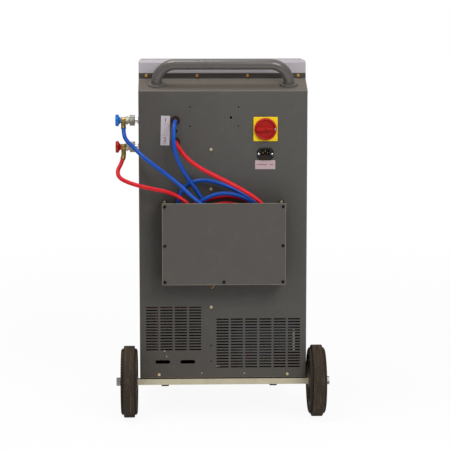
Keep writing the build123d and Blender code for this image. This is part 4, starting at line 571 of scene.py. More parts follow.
MATERIAL_MAKERS = {
    "grey": grey_panel,
    # Painted shade: a darker copy of the cabinet's powder coat for parts in shadow
    "dark_grey": lambda: coat("shaded powder coat", SHADED_COAT, roughness=0.6, mottle=0.16, low_dust=0.3),
    "plate": tray_plate,
    "screw": screw_plating,
    "handle": lambda: coat(
        "handle coat", linear(84, 79, 75), roughness=0.28, mottle=0.14, low_dust=0.0, top_dust=0.12,
        dust_colour=linear(176, 168, 158), Specular_IOR_Level=0.7,
    ),
    "pale": lambda: coat(
        "pale moulding", PALE_GREY, roughness=0.48, grain_size=0.0009, mottle=0.07, low_dust=0.0, top_dust=0.12,
        specks=0.08, scratches=0.15, bare=linear(200, 196, 198),
    ),
    "yellow_film": lambda: coat(
        "yellow film", YELLOW, roughness=0.36, grain_size=0.0006, bump=0.00002, mottle=0.05, low_dust=0.0,
        top_dust=0.05, specks=0.04, scratches=0.2, bare=linear(250, 230, 110),
    ),
    "yellow": lambda: coat(
        "yellow moulding", YELLOW, roughness=0.44, mottle=0.08, low_dust=0.2, top_dust=0.1, specks=0.08,
        scratches=0.2, bare=linear(250, 230, 120),
    ),
    "red": lambda: coat(
        "red moulding", RED, roughness=0.34, grain_size=0.0007, bump=0.00002, mottle=0.12, low_dust=0.0,
        top_dust=0.04, specks=0.04, scratches=0.2, bare=linear(214, 70, 56), Specular_IOR_Level=0.3,
    ),
    "blue": lambda: coat(
        "blue moulding", linear(24, 112, 206), roughness=0.34, grain_size=0.0007, bump=0.00002, mottle=0.12,
        low_dust=0.0, top_dust=0.04, specks=0.06, scratches=0.2, bare=linear(110, 170, 226),
    ),
    "green": lambda: coat(
        "green moulding", GREEN_KEY, roughness=0.34, grain_size=0.0007, bump=0.00002, mottle=0.1, low_dust=0.0,
        top_dust=0.1, scratches=0.1, bare=linear(120, 196, 140),
    ),
    "black": lambda: coat(
        "black moulding", BLACK, roughness=0.46, grain_size=0.0008, mottle=0.2, low_dust=0.0, top_dust=0.14,
        specks=0.12, scratches=0.15, bare=linear(80, 78, 76),
    ),
    "brown": lambda: coat(
        "brown moulding", BROWN, roughness=0.4, grain_size=0.0007, mottle=0.15, low_dust=0.0, top_dust=0.1,
        scratches=0.1, bare=linear(80, 66, 54),
    ),
    "lens": lambda: clear_plastic("clear lens", linear(236, 240, 240)),
    "window": lambda: clear_plastic("display window", linear(220, 228, 226), roughness=0.08),
    "dial": lambda: coat(
        "dial face", WHITE, roughness=0.5, grain_size=0.0005, bump=0.00001, mottle=0.04, low_dust=0.0,
        top_dust=0.02, specks=0.02, scratches=0.0,
    ),
    "ink": lambda: coat(
        "printed ink", INK, roughness=0.55, grain_size=0.0005, bump=0.00001, mottle=0.1, low_dust=0.0,
        top_dust=0.0, specks=0.03, scratches=0.0,
    ),
    "board": lambda: coat(
        "circuit board", BOARD_GREEN, roughness=0.35, grain_size=0.0005, mottle=0.2, low_dust=0.0, top_dust=0.1
    ),
    "paper": lambda: coat(
        "paper", PAPER, roughness=0.8, grain_size=0.0004, bump=0.00003, mottle=0.05, low_dust=0.0, top_dust=0.0,
        specks=0.0, scratches=0.0,
    ),
    "galvanised": lambda: tinted_steel("galvanised steel", GALVANISED, 0.42, mottle=0.35, dust=0.2, metallic=0.45),
    "zinc": lambda: tinted_steel("bright zinc", linear(176, 176, 176), 0.34, mottle=0.2, dust=0.2),
    "brass": lambda: tinted_steel("dulled brass", BRASS, 0.34, mottle=0.3, dust=0.12),
    "dark_brass": lambda: tinted_steel("brown brass", DARK_BRASS, 0.42, mottle=0.35, dust=0.12, metallic=0.8),
    "gilt": lambda: tinted_steel("yellow zinc", linear(214, 160, 78), 0.4, mottle=0.2, dust=0.05, metallic=0.6),
    "nickel": lambda: tinted_steel("nickel plate", NICKEL, 0.42, mottle=0.2, dust=0.1, metallic=0.85),
    "chrome": lambda: tinted_steel("chrome plate", CHROME, 0.1, mottle=0.08, dust=0.04),
    "aluminium": lambda: tinted_steel("mill aluminium", ALUMINIUM, 0.4, mottle=0.2, dust=0.2),
    "copper": lambda: tinted_steel("dulled copper", COPPER, 0.36, mottle=0.35, dust=0.15),
    "dark_screw": lambda: tinted_steel("blackened steel", SCREW_STEEL, 0.45, mottle=0.3, dust=0.15, metallic=0.8),
    "tyre": dusty_tyre,
    "castor": lambda: rubber("castor rubber", linear(52, 48, 44), TYRE_DUST, 0.4),
    "rim": lambda: coat(
        "wheel moulding", RIM, roughness=0.5, grain_size=0.0014, mottle=0.18, dust_colour=TYRE_DUST,
        low_dust=0.45, top_dust=0.3, specks=0.25, scratches=0.3, bare=linear(140, 130, 124),
    ),
    "pump": lambda: coat("pump enamel", PUMP_BLUE, roughness=0.3, mottle=0.2, low_dust=0.3, top_dust=0.5),
    "compressor": lambda: coat("compressor enamel", BLACK, roughness=0.3, mottle=0.2, low_dust=0.3, top_dust=0.5),
    "tank": lambda: coat("tank enamel", TANK_GREY, roughness=0.35, mottle=0.15, low_dust=0.2, top_dust=0.3),
    "bottle": bottle_plastic,
    "blue_hose": lambda: hose_jacket("blue hose jacket", BLUE_HOSE),
    "red_hose": lambda: hose_jacket("red hose jacket", RED_HOSE),
    "screen": glowing_screen,
    "screen_ink": lambda: coat(
        "screen marks", SCREEN_INK, roughness=0.5, mottle=0.05, low_dust=0.0, top_dust=0.0, specks=0.0,
        scratches=0.0,
    ),
    "label": lambda: coat(
        "label film", LABEL, roughness=0.42, grain_size=0.0006, bump=0.00002, mottle=0.1, low_dust=0.0,
        top_dust=0.05, specks=0.12, scratches=0.35, bare=linear(140, 134, 134),
    ),
    "cable": lambda: coat(
        "white cable", CABLE_WHITE, roughness=0.5, mottle=0.1, low_dust=0.0, top_dust=0.1, scratches=0.0
    ),
    "felt": lambda: coat(
        "fan enamel", linear(30, 28, 26), roughness=0.5, mottle=0.2, low_dust=0.2, top_dust=0.3
    ),
    "deep_red": lambda: coat(
        "deep red moulding", linear(104, 14, 8), roughness=0.4, mottle=0.1, low_dust=0.0, top_dust=0.05,
        scratches=0.1, bare=linear(200, 70, 60),
    ),
    "dull_yellow": lambda: coat(
        "dull yellow moulding", linear(222, 186, 20), roughness=0.46, mottle=0.08, low_dust=0.0, top_dust=0.05,
        scratches=0.1, bare=linear(250, 230, 120),
    ),
    "pink_label": lambda: coat(
        "rosy label film", linear(190, 166, 170), roughness=0.42, grain_size=0.0006, bump=0.00002, mottle=0.1,
        low_dust=0.0, top_dust=0.05, specks=0.2, scratches=0.4, bare=linear(150, 136, 136),
    ),
    "faint_ink": lambda: coat(
        "faint ink", linear(150, 138, 146), roughness=0.55, mottle=0.1, low_dust=0.0, top_dust=0.0,
        scratches=0.0,
    ),
    "dull_ink": lambda: coat(
        "dull maroon ink", linear(136, 100, 108), roughness=0.55, mottle=0.3, low_dust=0.0, top_dust=0.0,
        specks=0.5, scratches=0.6, bare=linear(184, 160, 166),
    ),
    "maroon_ink": lambda: coat(
        "maroon ink", MAROON, roughness=0.55, mottle=0.1, low_dust=0.0, top_dust=0.0, scratches=0.0
    ),
    "weld": lambda: coat(
        "painted weld", linear(104, 98, 92), roughness=0.32, grain_size=0.0022, bump=0.0003, mottle=0.3,
        low_dust=0.0, top_dust=0.15, specks=0.2, scratches=0.0,
    ),
    "fin": lambda: tinted_steel("fin aluminium", linear(72, 60, 50), 0.5, mottle=0.4, dust=0.3, metallic=0.4),
    "key_grey": lambda: coat(
        "key film", linear(206, 206, 204), roughness=0.44, grain_size=0.0006, bump=0.00002, mottle=0.05,
        low_dust=0.0, top_dust=0.05, specks=0.05, scratches=0.1,
    ),
}
MATERIALS = {}


def finish_of(name):
    """The material of that name, made when it is first asked for."""
    if name not in MATERIALS:
        MATERIALS[name] = MATERIAL_MAKERS[name]()
    return MATERIALS[name]


NODE_FINISHES = {
    "rear_panel": "grey",
    "left_side_panel": "grey",
    "right_side_panel": "grey",
    "base_pan": "dark_grey",
    "mid_partition": "dark_grey",
    "front_cover": "yellow",
    "oil_bottles": "bottle",
    "console_housing": "pale",
    "console_fascia": "yellow_film",
    "printer_door": "black",
    "paper_roll": "paper",
    "display_window": "window",
    "stop_key": "red",
    "start_key": "green",
    "gauge_cases": "black",
    "gauge_lenses": "lens",
    "low_gauge_needle": "ink",
    "high_gauge_needle": "ink",
    "control_board": "board",
    "handle": "handle",
    "hose_tray": "dark_grey",
    "tray_front_plate": "plate",
    "panel_screws": "screw",
    "tray_screws": "dark_screw",
    "axle": "galvanised",
    "axle_nuts": "zinc",
    "left_wheel_hub": "rim",
    "right_wheel_hub": "rim",
    "left_tyre": "tyre",
    "right_tyre": "tyre",
    "castor_plates": "zinc",
    "left_castor_fork": "zinc",
    "right_castor_fork": "zinc",
    "left_castor_wheel": "castor",
    "right_castor_wheel": "castor",
    "switch_base": "yellow",
    "switch_knob": "red",
    "mains_inlet": "black",
    "fuse_drawer": "brown",
    "port_fittings": "dark_brass",
    "valve_manifold": "aluminium",
    "parking_posts": "chrome",
    "low_coupler_body": "nickel",
    "high_coupler_body": "nickel",
    "low_coupler_sleeve": "nickel",
    "high_coupler_sleeve": "nickel",
    "low_coupler_elbow": "brass",
    "high_coupler_elbow": "brass",
    "low_coupler_knob": "blue",
    "high_coupler_knob": "red",
    "refrigerant_tank": "tank",
    "scale_platform": "aluminium",
    "vacuum_pump": "pump",
    "compressor": "compressor",
    "condenser": "aluminium",
    "fan_housing": "felt",
    "fan_blades": "felt",
    "copper_pipes": "copper",
}


def soft_edges_tree():
    """Geometry nodes that join loose triangles and shade them smooth except over sharp edges."""
    tree = bpy.data.node_groups.new("Soft Shading", "GeometryNodeTree")
    for direction in ("INPUT", "OUTPUT"):
        tree.interface.new_socket("Geometry", in_out=direction, socket_type="NodeSocketGeometry")
    angle = tree.interface.new_socket("Sharp Angle", in_out="INPUT", socket_type="NodeSocketFloat")
    angle.default_value = math.radians(32)
    graph = Graph(tree)
    given = graph.add("NodeGroupInput").outputs
    joined = graph.add("GeometryNodeMergeByDistance", Geometry=given["Geometry"], Distance=0.000002)
    smooth = graph.add("GeometryNodeSetShadeSmooth", {"domain": "FACE"}, Geometry=joined.outputs[0])
    turn = graph.add("GeometryNodeInputMeshEdgeAngle").outputs["Unsigned Angle"]
    compare = graph.add("FunctionNodeCompare", {"data_type": "FLOAT", "operation": "GREATER_THAN"})
    graph.join(turn, compare.inputs[0])
    graph.join(given["Sharp Angle"], compare.inputs[1])
    sharp = graph.add(
        "GeometryNodeSetShadeSmooth", {"domain": "EDGE"}, Geometry=smooth.outputs[0],
        Selection=compare.outputs[0], Shade_Smooth=False,
    )
    graph.join(sharp.outputs[0], graph.add("NodeGroupOutput").inputs[0])
    return tree


def finish_solids():
    """Gives every solid its finish, and shades its curved faces smooth."""
    tree = soft_edges_tree()
    for name, finish in NODE_FINISHES.items():
        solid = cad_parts[name]
        if not solid.material_slots:
            solid.data.materials.append(None)
        for slot in solid.material_slots:
            slot.material = finish_of(finish)
        modifier = solid.modifiers.new("Soft Shading", "NODES")
        modifier.node_group = tree


def add_piece(name, mesh, finish, body="root"):
    """A finished mesh as a piece that rides on a body."""
    piece = bpy.data.objects.new(name, mesh)
    bpy.context.scene.collection.objects.link(piece)
    if finish:
        piece.data.materials.clear()
        piece.data.materials.append(finish_of(finish))
    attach(piece, body)
    return piece


def mesh_from(shape, name, smooth_angle=math.radians(35)):
    """Turns a bmesh into a mesh with outward faces, smooth over its round stretches."""
    bmesh.ops.remove_doubles(shape, verts=shape.verts, dist=0.000002)
    bmesh.ops.recalc_face_normals(shape, faces=shape.faces)
    for face in shape.faces:
        face.smooth = True
    for edge in shape.edges:
        if len(edge.link_faces) == 2 and edge.calc_face_angle(0.0) > smooth_angle:
            edge.smooth = False
    mesh = bpy.data.meshes.new(name)
    shape.to_mesh(mesh)
    shape.free()
    return mesh


def frame_towards(origin, direction, up=(0.0, 0.0, 1.0)):
    """A matrix whose Z axis points in direction, with its X axis square to up."""
    z_axis = Vector(direction).normalized()
    x_axis = Vector(up).cross(z_axis)
    if x_axis.length < 0.001:
        x_axis = Vector((1.0, 0.0, 0.0))
    x_axis.normalize()
    y_axis = z_axis.cross(x_axis)
    turned = Matrix((x_axis, y_axis, z_axis)).transposed().to_4x4()
    turned.translation = Vector(origin)
    return turned


def add_turned(shape, profile, place, steps=48, scallop=None):
    """Adds a turned form: profile holds (radius, height) pairs in millimetres from one pole to the other."""
    rings = []
    for index, (radius, height) in enumerate(profile):
        if radius == 0:
            rings.append([shape.verts.new(place @ Vector((0, 0, height * MM)))])
            continue
        ring = []
        for step in range(steps):
            turn = 2 * math.pi * step / steps
            reach = radius * (scallop(index, turn) if scallop else 1.0) * MM
            ring.append(shape.verts.new(place @ Vector((reach * math.cos(turn), reach * math.sin(turn), height * MM))))
        rings.append(ring)
    for lower, upper in zip(rings, rings[1:]):
        for step in range(steps):
            after = (step + 1) % steps
            corners = [lower[step % len(lower)], lower[after % len(lower)]]
            corners += [upper[after % len(upper)], upper[step % len(upper)]]
            shape.faces.new(list(dict.fromkeys(corners)))


def add_block(shape, place, low, high, bevel=0.0, segments=2):
    """Adds a block with rounded edges, from its low and high corners in millimetres."""
    made = bmesh.ops.create_cube(shape, size=1.0)
    size = [(b - a) * MM for a, b in zip(low, high)]
    middle = [(b + a) / 2 * MM for a, b in zip(low, high)]
    block = place @ Matrix.Translation(middle) @ Matrix.Diagonal((*size, 1.0))
    bmesh.ops.transform(shape, matrix=block, verts=made["verts"])
    if bevel:
        edges = list({edge for vert in made["verts"] for edge in vert.link_edges})
        bmesh.ops.bevel(
            shape, geom=edges, offset=bevel * MM, segments=segments, profile=0.5, affect="EDGES"
        )


def add_tube(shape, points, radius, steps=24, capped=True, radii=None):
    """Adds a tube along points in metres; its rings turn as little as they can."""
    points = [Vector(p) for p in points]
    side = None
    rings = []
    for index, point in enumerate(points):
        before = points[max(index - 1, 0)]
        after = points[min(index + 1, len(points) - 1)]
        along = (after - before).normalized()
        if side is None:
            side = along.orthogonal().normalized()
        side = (side - along * side.dot(along)).normalized()
        other = along.cross(side)
        reach = radii[index] if radii else radius
        ring = []
        for step in range(steps):
            turn = 2 * math.pi * step / steps
            ring.append(shape.verts.new(point + reach * (math.cos(turn) * side + math.sin(turn) * other)))
        rings.append(ring)
    for lower, upper in zip(rings, rings[1:]):
        for step in range(steps):
            after = (step + 1) % steps
            shape.faces.new((lower[step], lower[after], upper[after], upper[step]))
    if capped:
        shape.faces.new(list(reversed(rings[0])))
        shape.faces.new(rings[-1])


def rounded_path(corners, radius, steps=12):
    """Points along straight runs between corners, with a round bend of one radius at each."""
    corners = [Vector(c) for c in corners]
    points = [corners[0]]
    for before, corner, after in zip(corners, corners[1:], corners[2:]):
        inward = (before - corner).normalized()
        outward = (after - corner).normalized()
        half = inward.angle(outward) / 2
        reach = radius / math.tan(half)
        centre = corner + (inward + outward).normalized() * (radius / math.sin(half))
        start = corner + inward * reach - centre
        end = corner + outward * reach - centre
        total = start.angle(end)
        for step in range(steps + 1):
            share = step / steps
            low = math.sin((1 - share) * total) / math.sin(total)
            high = math.sin(share * total) / math.sin(total)
            points.append(centre + start * low + end * high)
    points.append(corners[-1])
    return points


def rear_frame(x, out, z):
    """A place on the rear panel in millimetres, out from it, whose Z axis points away from it."""
    return frame_towards((x * MM, REAR - out * MM, z * MM), (0, -1, 0))


def add_text(shape, words, place, size):
    """Adds flat figures as thin faces, size millimetres high, standing a hair proud of what they are on."""
    curve = bpy.data.curves.new("figures", "FONT")
    curve.body = words
    curve.size = size * MM
    curve.align_x = "CENTER"
    curve.align_y = "CENTER"
    curve.extrude = 0.05 * MM
    curve.resolution_u = 3
    holder = bpy.data.objects.new("figures", curve)
    bpy.context.scene.collection.objects.link(holder)
    bpy.context.view_layer.update()
    mesh = bpy.data.meshes.new_from_object(holder.evaluated_get(bpy.context.evaluated_depsgraph_get()))
    mesh.transform(place)
    shape.from_mesh(mesh)
    bpy.data.objects.remove(holder)
    bpy.data.curves.remove(curve)
    bpy.data.meshes.remove(mesh)


def new_geometry_tree(name, inputs):
    """A geometry node tree with named inputs, its graph and its ends."""
    tree = bpy.data.node_groups.new(name, "GeometryNodeTree")
    for label, kind, value in inputs:
        socket = tree.interface.new_socket(label, in_out="INPUT", socket_type=kind)
        if value is not None:
            socket.default_value = value
    tree.interface.new_socket("Geometry", in_out="OUTPUT", socket_type="NodeSocketGeometry")
    graph = Graph(tree)
    return tree, graph, graph.add("NodeGroupInput").outputs, graph.add("NodeGroupOutput").inputs


def close_tree(graph, instances, material, end):
    """Ends a tree: its instances are made real and get their material."""
    real = graph.add("GeometryNodeRealizeInstances", Geometry=instances)
    painted = graph.add("GeometryNodeSetMaterial", Geometry=real.outputs[0], Material=material)
    graph.join(painted.outputs[0], end[0])


def grown(tree, name, finish, body="root", place=IDENTITY, **inputs):
    """Runs a geometry node tree with its inputs, and keeps the result as a plain mesh piece."""
    holder = bpy.data.objects.new(name + "_grower", bpy.data.meshes.new(name + "_grower"))
    bpy.context.scene.collection.objects.link(holder)
    modifier = holder.modifiers.new("Grow", "NODES")
    modifier.node_group = tree
    for item in tree.interface.items_tree:
        if item.item_type == "SOCKET" and item.in_out == "INPUT":
            label = item.name.replace(" ", "_")
            if label in inputs:
                modifier[item.identifier] = inputs[label]
            elif label == "Material":
                modifier[item.identifier] = finish_of(finish)
    bpy.context.view_layer.update()
    mesh = bpy.data.meshes.new_from_object(holder.evaluated_get(bpy.context.evaluated_depsgraph_get()))
    mesh.name = name
    holder.modifiers.clear()
    bpy.data.objects.remove(holder)
    mesh.transform(place)
    shape = bmesh.new()
    shape.from_mesh(mesh)
    bpy.data.meshes.remove(mesh)
    return add_piece(name, mesh_from(shape, name), finish, body)


def row_tree():
    """Blocks in a grid: for slats, fins, keys and marks."""
    tree, graph, given, end = new_geometry_tree(
        "Grid Of Blocks",
        [
            ("Columns", "NodeSocketInt", 4),
            ("Rows", "NodeSocketInt", 4),
            ("Pitch", "NodeSocketVector", (0.01, 0.01, 0.0)),
            ("Block Size", "NodeSocketVector", (0.005, 0.005, 0.001)),
            ("Material", "NodeSocketMaterial", None),
        ],
    )
    columns = graph.math("SUBTRACT", given["Columns"], 1.0)
    rows = graph.math("SUBTRACT", given["Rows"], 1.0)
    pitch = graph.add("ShaderNodeSeparateXYZ", Vector=given["Pitch"]).outputs
    grid = graph.add(
        "GeometryNodeMeshGrid",
        Size_X=graph.math("MULTIPLY", columns, pitch["X"]),
        Size_Y=graph.math("MULTIPLY", rows, pitch["Y"]),
        Vertices_X=given["Columns"],
        Vertices_Y=given["Rows"],
    )
    points = graph.add("GeometryNodeMeshToPoints", Mesh=grid.outputs[0])
    block = graph.add("GeometryNodeMeshCube", Size=given["Block Size"])
    placed = graph.add("GeometryNodeInstanceOnPoints", Points=points.outputs[0], Instance=block.outputs[0])
    close_tree(graph, placed.outputs[0], given["Material"], end)
    return tree


def ring_tree():
    """Blocks on a circle or an arc, each turned to face its centre: for dial marks, flutes and ribs."""
    tree, graph, given, end = new_geometry_tree(
        "Ring Of Blocks",
        [
            ("Count", "NodeSocketInt", 12),
            ("Radius", "NodeSocketFloat", 0.02),
            ("First Angle", "NodeSocketFloat", 0.0),
            ("Step Angle", "NodeSocketFloat", 0.5),
            ("Block Size", "NodeSocketVector", (0.002, 0.001, 0.001)),
            ("Material", "NodeSocketMaterial", None),
        ],
    )
    line = graph.add("GeometryNodeMeshLine", Count=given["Count"])
    points = graph.add("GeometryNodeMeshToPoints", Mesh=line.outputs[0])
    index = graph.add("GeometryNodeInputIndex").outputs[0]
    turn = graph.math("ADD", given["First Angle"], graph.math("MULTIPLY", index, given["Step Angle"]))
    across = graph.math("MULTIPLY", graph.math("COSINE", turn), given["Radius"])
    up = graph.math("MULTIPLY", graph.math("SINE", turn), given["Radius"])
    spot = graph.add("ShaderNodeCombineXYZ", X=across, Y=up)
    moved = graph.add("GeometryNodeSetPosition", Geometry=points.outputs[0], Position=spot.outputs[0])
    turned = graph.add("ShaderNodeCombineXYZ", Z=turn)
    block = graph.add("GeometryNodeMeshCube", Size=given["Block Size"])
    placed = graph.add(
        "GeometryNodeInstanceOnPoints", Points=moved.outputs[0], Instance=block.outputs[0],
        Rotation=turned.outputs[0],
    )
    close_tree(graph, placed.outputs[0], given["Material"], end)
    return tree


TREES = {}


def tree_of(maker):
    """A geometry node tree, made when it is first asked for."""
    if maker not in TREES:
        TREES[maker] = maker()
    return TREES[maker]


# Routes of the two hoses in millimetres: X, distance behind the rear panel, and Z
LOW_ROUTE = [
    (-143.5, 9, 914), (-144.5, 36, 914), (-147.5, 59, 901), (-149.5, 72, 877), (-149.5, 74, 846),
    (-142, 71, 811), (-126, 63, 776), (-105, 52, 741), (-81, 39, 706), (-57, 34, 666),
    (-37, 35, 612), (-22, 36, 555), (-6, 36, 498), (17, 36, 457), (58, 36, 437),
    (103, 36, 441), (137, 34, 470), (148, 30, 514), (151, 27, 561), (144, 24, 607),
    (122, 23, 648), (86, 23, 678), (44, 23, 702), (0, 23, 722), (-45, 23, 736),
    (-92, 23, 733), (-127, 23, 708), (-137, 23, 666), (-146, 23, 618), (-150, 23, 565),
    (-143, 23, 512), (-118, 24, 468), (-75, 33, 440), (-25, 45, 435), (30, 49, 436),
    (83, 49, 445), (126, 49, 472), (146, 49, 516), (150, 49, 566), (140, 49, 615),
    (113, 49, 655), (74, 49, 680), (30, 50, 697), (-15, 51, 699), (-58, 50, 682),
    (-96, 49, 653), (-125, 51, 613), (-138, 56, 564), (-131, 61, 512), (-101, 62, 468),
    (-56, 62, 441), (-8, 62, 435), (42, 63, 436), (85, 66, 453), (109, 70, 491),
    (105, 74, 536), (77, 75, 573), (37, 75, 600), (-6, 75, 625), (-46, 75, 651),
    (-85, 74, 681), (-127, 71, 722), (-168, 65, 755), (-209, 54, 784), (-245, 36, 811),
    (-272, 8, 836), (-291, -26, 850), (-301, -55, 866), (-302, -70, 890),
]
HIGH_ROUTE = [
    (-143.5, 9, 850), (-142, 34, 849), (-134, 54, 836), (-117, 64, 812), (-88, 66, 787),
    (-48, 66, 763), (0, 66, 740), (48, 66, 715), (92, 65, 688), (128, 64, 655),
    (153, 62, 613), (169, 60, 566), (173, 54, 515), (162, 42, 470), (129, 26, 442),
    (83, 14, 435), (33, 10, 436), (-18, 10, 435.5), (-68, 10, 443), (-114, 10, 463),
    (-146, 10, 501), (-156, 10, 549), (-146, 10, 597), (-119, 10, 639), (-79, 10, 666),
    (-28, 10, 682), (26, 10, 686), (80, 10, 672), (122, 10, 638), (143, 10, 589),
    (143, 10, 536), (118, 10, 489), (73, 10, 461), (21, 10, 451), (-31, 10, 456),
    (-80, 10, 475), (-113, 10, 512), (-123, 10, 560), (-108, 10, 606), (-72, 10, 641),
    (-24, 10, 662), (30, 10, 665), (77, 10, 645), (106, 10, 604), (112, 10, 554),
    (93, 10, 509), (53, 10, 479), (5, 14, 474), (-31, 24, 501), (-52, 38, 547),
    (-65, 54, 595), (-84, 63, 641), (-118, 65, 680), (-161, 60, 703), (-205, 50, 711),
    (-248, 34, 718), (-287, 14, 728), (-316, -14, 740), (-321, -44, 759), (-308, -64, 780),
    (-302, -70, 802),
]
LOW_LENGTH = 3.155
HIGH_LENGTH = 2.843


def route_points(route):
    """A route as points in metres."""
    return [Vector((x * MM, REAR - out * MM, z * MM)) for x, out, z in route]


def hose_curve(name, points, diameter):
    """A smooth curve with those control points and a round section."""
    curve = bpy.data.curves.new(name, "CURVE")
    curve.dimensions = "3D"
    curve.resolution_u = 10
    curve.bevel_depth = diameter / 2
    curve.bevel_resolution = 7
    curve.use_fill_caps = True
    spline = curve.splines.new("NURBS")
    spline.points.add(len(points) - 1)
    for point, place in zip(spline.points, points):
        point.co = (*place, 1.0)
    spline.order_u = 3
    spline.use_endpoint_u = True
    return curve


def centreline(curve):
    """Points that the curve passes through, in order."""
    thin = curve.copy()
    thin.bevel_depth = 0.0
    holder = bpy.data.objects.new("centreline", thin)
    bpy.context.scene.collection.objects.link(holder)
    bpy.context.view_layer.update()
    mesh = bpy.data.meshes.new_from_object(holder.evaluated_get(bpy.context.evaluated_depsgraph_get()))
    points = [vert.co.copy() for vert in mesh.vertices]
    bpy.data.objects.remove(holder)
    bpy.data.curves.remove(thin)
    bpy.data.meshes.remove(mesh)
    return points


def stretch(points, length, steps=22):
    """Evenly spaced points over the first length of a line."""
    spots = []
    for step in range(steps + 1):
        left = length * step / steps
        for before, after in zip(points, points[1:]):
            run = (after - before).length
            if left <= run:
                break
            left -= run
        spots.append(before + (after - before) * (left / run))
    return spots


def add_ferrule(shape, points, length, radius, grooves):
    """A crimped ferrule that follows the line's first stretch, with grooves pressed round it."""
    spots = stretch(points, length, steps=44)
    radii = []
    for index in range(len(spots)):
        share = index / (len(spots) - 1)
        groove = max(0.0, math.cos(math.pi * (2 * share * grooves + 1)) - 0.55) / 0.45
        edge = min(1.0, 14 * share, 14 * (1 - share))
        radii.append(radius * (0.9 + 0.1 * edge) - 0.5 * MM * groove)
    add_tube(shape, spots, radius, steps=40, radii=radii)


def build_hoses(settings):
    """The two service hoses, each with a ferrule at its port and one at its coupler."""
    made = []
    for side, route, length, reach, rings in (
        ("low", LOW_ROUTE, LOW_LENGTH, settings.low_ferrule, 1),
        ("high", HIGH_ROUTE, HIGH_LENGTH, settings.high_ferrule, 2),
    ):
        colour = "blue_hose" if side == "low" else "red_hose"
        points = route_points(route)
        curve = hose_curve(f"{side}_service_hose", points, settings.diameter)
        hose = bpy.data.objects.new(f"{side}_service_hose", curve)
        bpy.context.scene.collection.objects.link(hose)
        curve.materials.append(finish_of(colour))
        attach(hose, "root")
        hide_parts(f"{side}_hose")
        line = centreline(curve)
        port = bmesh.new()
        add_ferrule(port, line, settings.port_ferrule, settings.diameter / 2 + 1.6 * MM, 2)
        port_ferrule = add_piece(f"{side}_port_ferrule", mesh_from(port, "port ferrule"), "dark_brass")
        end = bmesh.new()
        add_ferrule(end, list(reversed(line)), reach, settings.diameter / 2 + 1.5 * MM, rings)
        end_ferrule = add_piece(f"{side}_coupler_ferrule", mesh_from(end, "coupler ferrule"), "brass")
        made.append(hose)
    return made


# Quick couplers, whose axes run out from the cabinet's left side
COUPLER_Y = -116.0
COUPLER_HEIGHTS = {"low": 910.0, "high": 829.0}
KNOB_START = 54.8
SLEEVE_START = 12.0
SLEEVE_LENGTH = 16.0
SLEEVE_BORE = 10.1
STEM_RADIUS = 4.9


def coupler_frame(side, along=0.0):
    """A place on a coupler's axis, along millimetres out from the cabinet, Z pointing outwards."""
    place = (CABINET_LEFT - along * MM, COUPLER_Y * MM, COUPLER_HEIGHTS[side] * MM)
    return frame_towards(place, (-1, 0, 0))


def build_couplers(settings):
    """Flared fluted knobs and ridged sleeves of the two quick couplers, with rings round their bodies."""
    radius = settings.knob_radius / MM
    height = settings.knob_height / MM
    flare = [(STEM_RADIUS, -7.0), (STEM_RADIUS, 0.0), (8.6, 0.2), (8.8, 1.2)]
    for step in range(1, 9):
        share = step / 8
        flare.append((8.8 + (radius - 8.8) * share**1.9, 1.2 + 6.4 * share))
    first_fluted = len(flare) - 2
    flare += [
        (radius, 9.0), (radius, height - 2.2), (radius - 0.5, height - 0.9), (radius - 1.6, height - 0.2),
        (radius - 3.0, height), (radius - 4.2, height - 0.5), (radius - 4.8, height - 1.8), (6.0, height - 2.2),
        (5.4, height - 1.0), (4.4, height - 0.6), (0, height - 0.6),
    ]
    flutes = settings.flutes

    def fluting(index, turn):
        if not first_fluted <= index <= first_fluted + 6:
            return 1.0
        return 1.0 - settings.flute_depth * max(0.0, math.cos(flutes * turn)) ** 3

    ridged = [(SLEEVE_BORE, 0.0), (15.0, 0.0), (16.0, 0.5), (16.5, 1.5)]
    for ridge in range(4):
        base = 2.4 + ridge * 2.9
        ridged += [(16.5, base), (15.5, base + 0.5), (15.5, base + 1.3), (16.5, base + 1.8)]
    ridged += [
        (16.5, SLEEVE_LENGTH - 1.5), (15.6, SLEEVE_LENGTH - 0.4), (14.6, SLEEVE_LENGTH),
        (SLEEVE_BORE, SLEEVE_LENGTH), (SLEEVE_BORE, 0.0),
    ]

    def knurl(index, turn):
        return 1.0 if index < 4 or index > len(ridged) - 6 else 1.0 - 0.012 * (1 + math.cos(48 * turn))

    for side, colour in (("low", "blue"), ("high", "red")):
        knob = bmesh.new()
        add_turned(knob, flare, coupler_frame(side, KNOB_START), steps=144, scallop=fluting)
        piece = add_piece(f"{side}_flared_knob", mesh_from(knob, "flared knob"), colour, f"{side}_knob")
        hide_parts(f"{side}_coupler_knob")
        sleeve = bmesh.new()
        add_turned(sleeve, ridged, coupler_frame(side, SLEEVE_START), steps=192, scallop=knurl)
        piece = add_piece(f"{side}_ridged_sleeve", mesh_from(sleeve, "ridged sleeve"), "nickel", f"{side}_sleeve")
        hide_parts(f"{side}_coupler_sleeve")
        collar = bmesh.new()
        add_turned(
            collar, [(8.8, 0), (10.2, 0.2), (10.8, 0.9), (10.8, 2.1), (10.2, 2.8), (8.8, 3.0), (8.8, 0)],
            coupler_frame(side, 40.0), steps=64,
        )
        add_turned(
            collar, [(8.8, 0), (9.8, 0.2), (10.1, 0.7), (10.1, 1.6), (9.7, 2.0), (8.8, 2.2), (8.8, 0)],
            coupler_frame(side, 51.6), steps=64,
        )
        add_piece(f"{side}_elbow_collars", mesh_from(collar, "elbow collars"), "brass")


def stadium(length, width, height, centre=(0.0, 0.0), steps=12):
    """Corner points of a slot-shaped outline in millimetres."""
    points = []
    for end, start in ((1, -math.pi / 2), (-1, math.pi / 2)):
        for step in range(steps + 1):
            turn = start + math.pi * step / steps
            across = centre[0] + end * (length - width) / 2 + width / 2 * math.cos(turn)
            points.append((across, centre[1] + width / 2 * math.sin(turn), height))
    return points


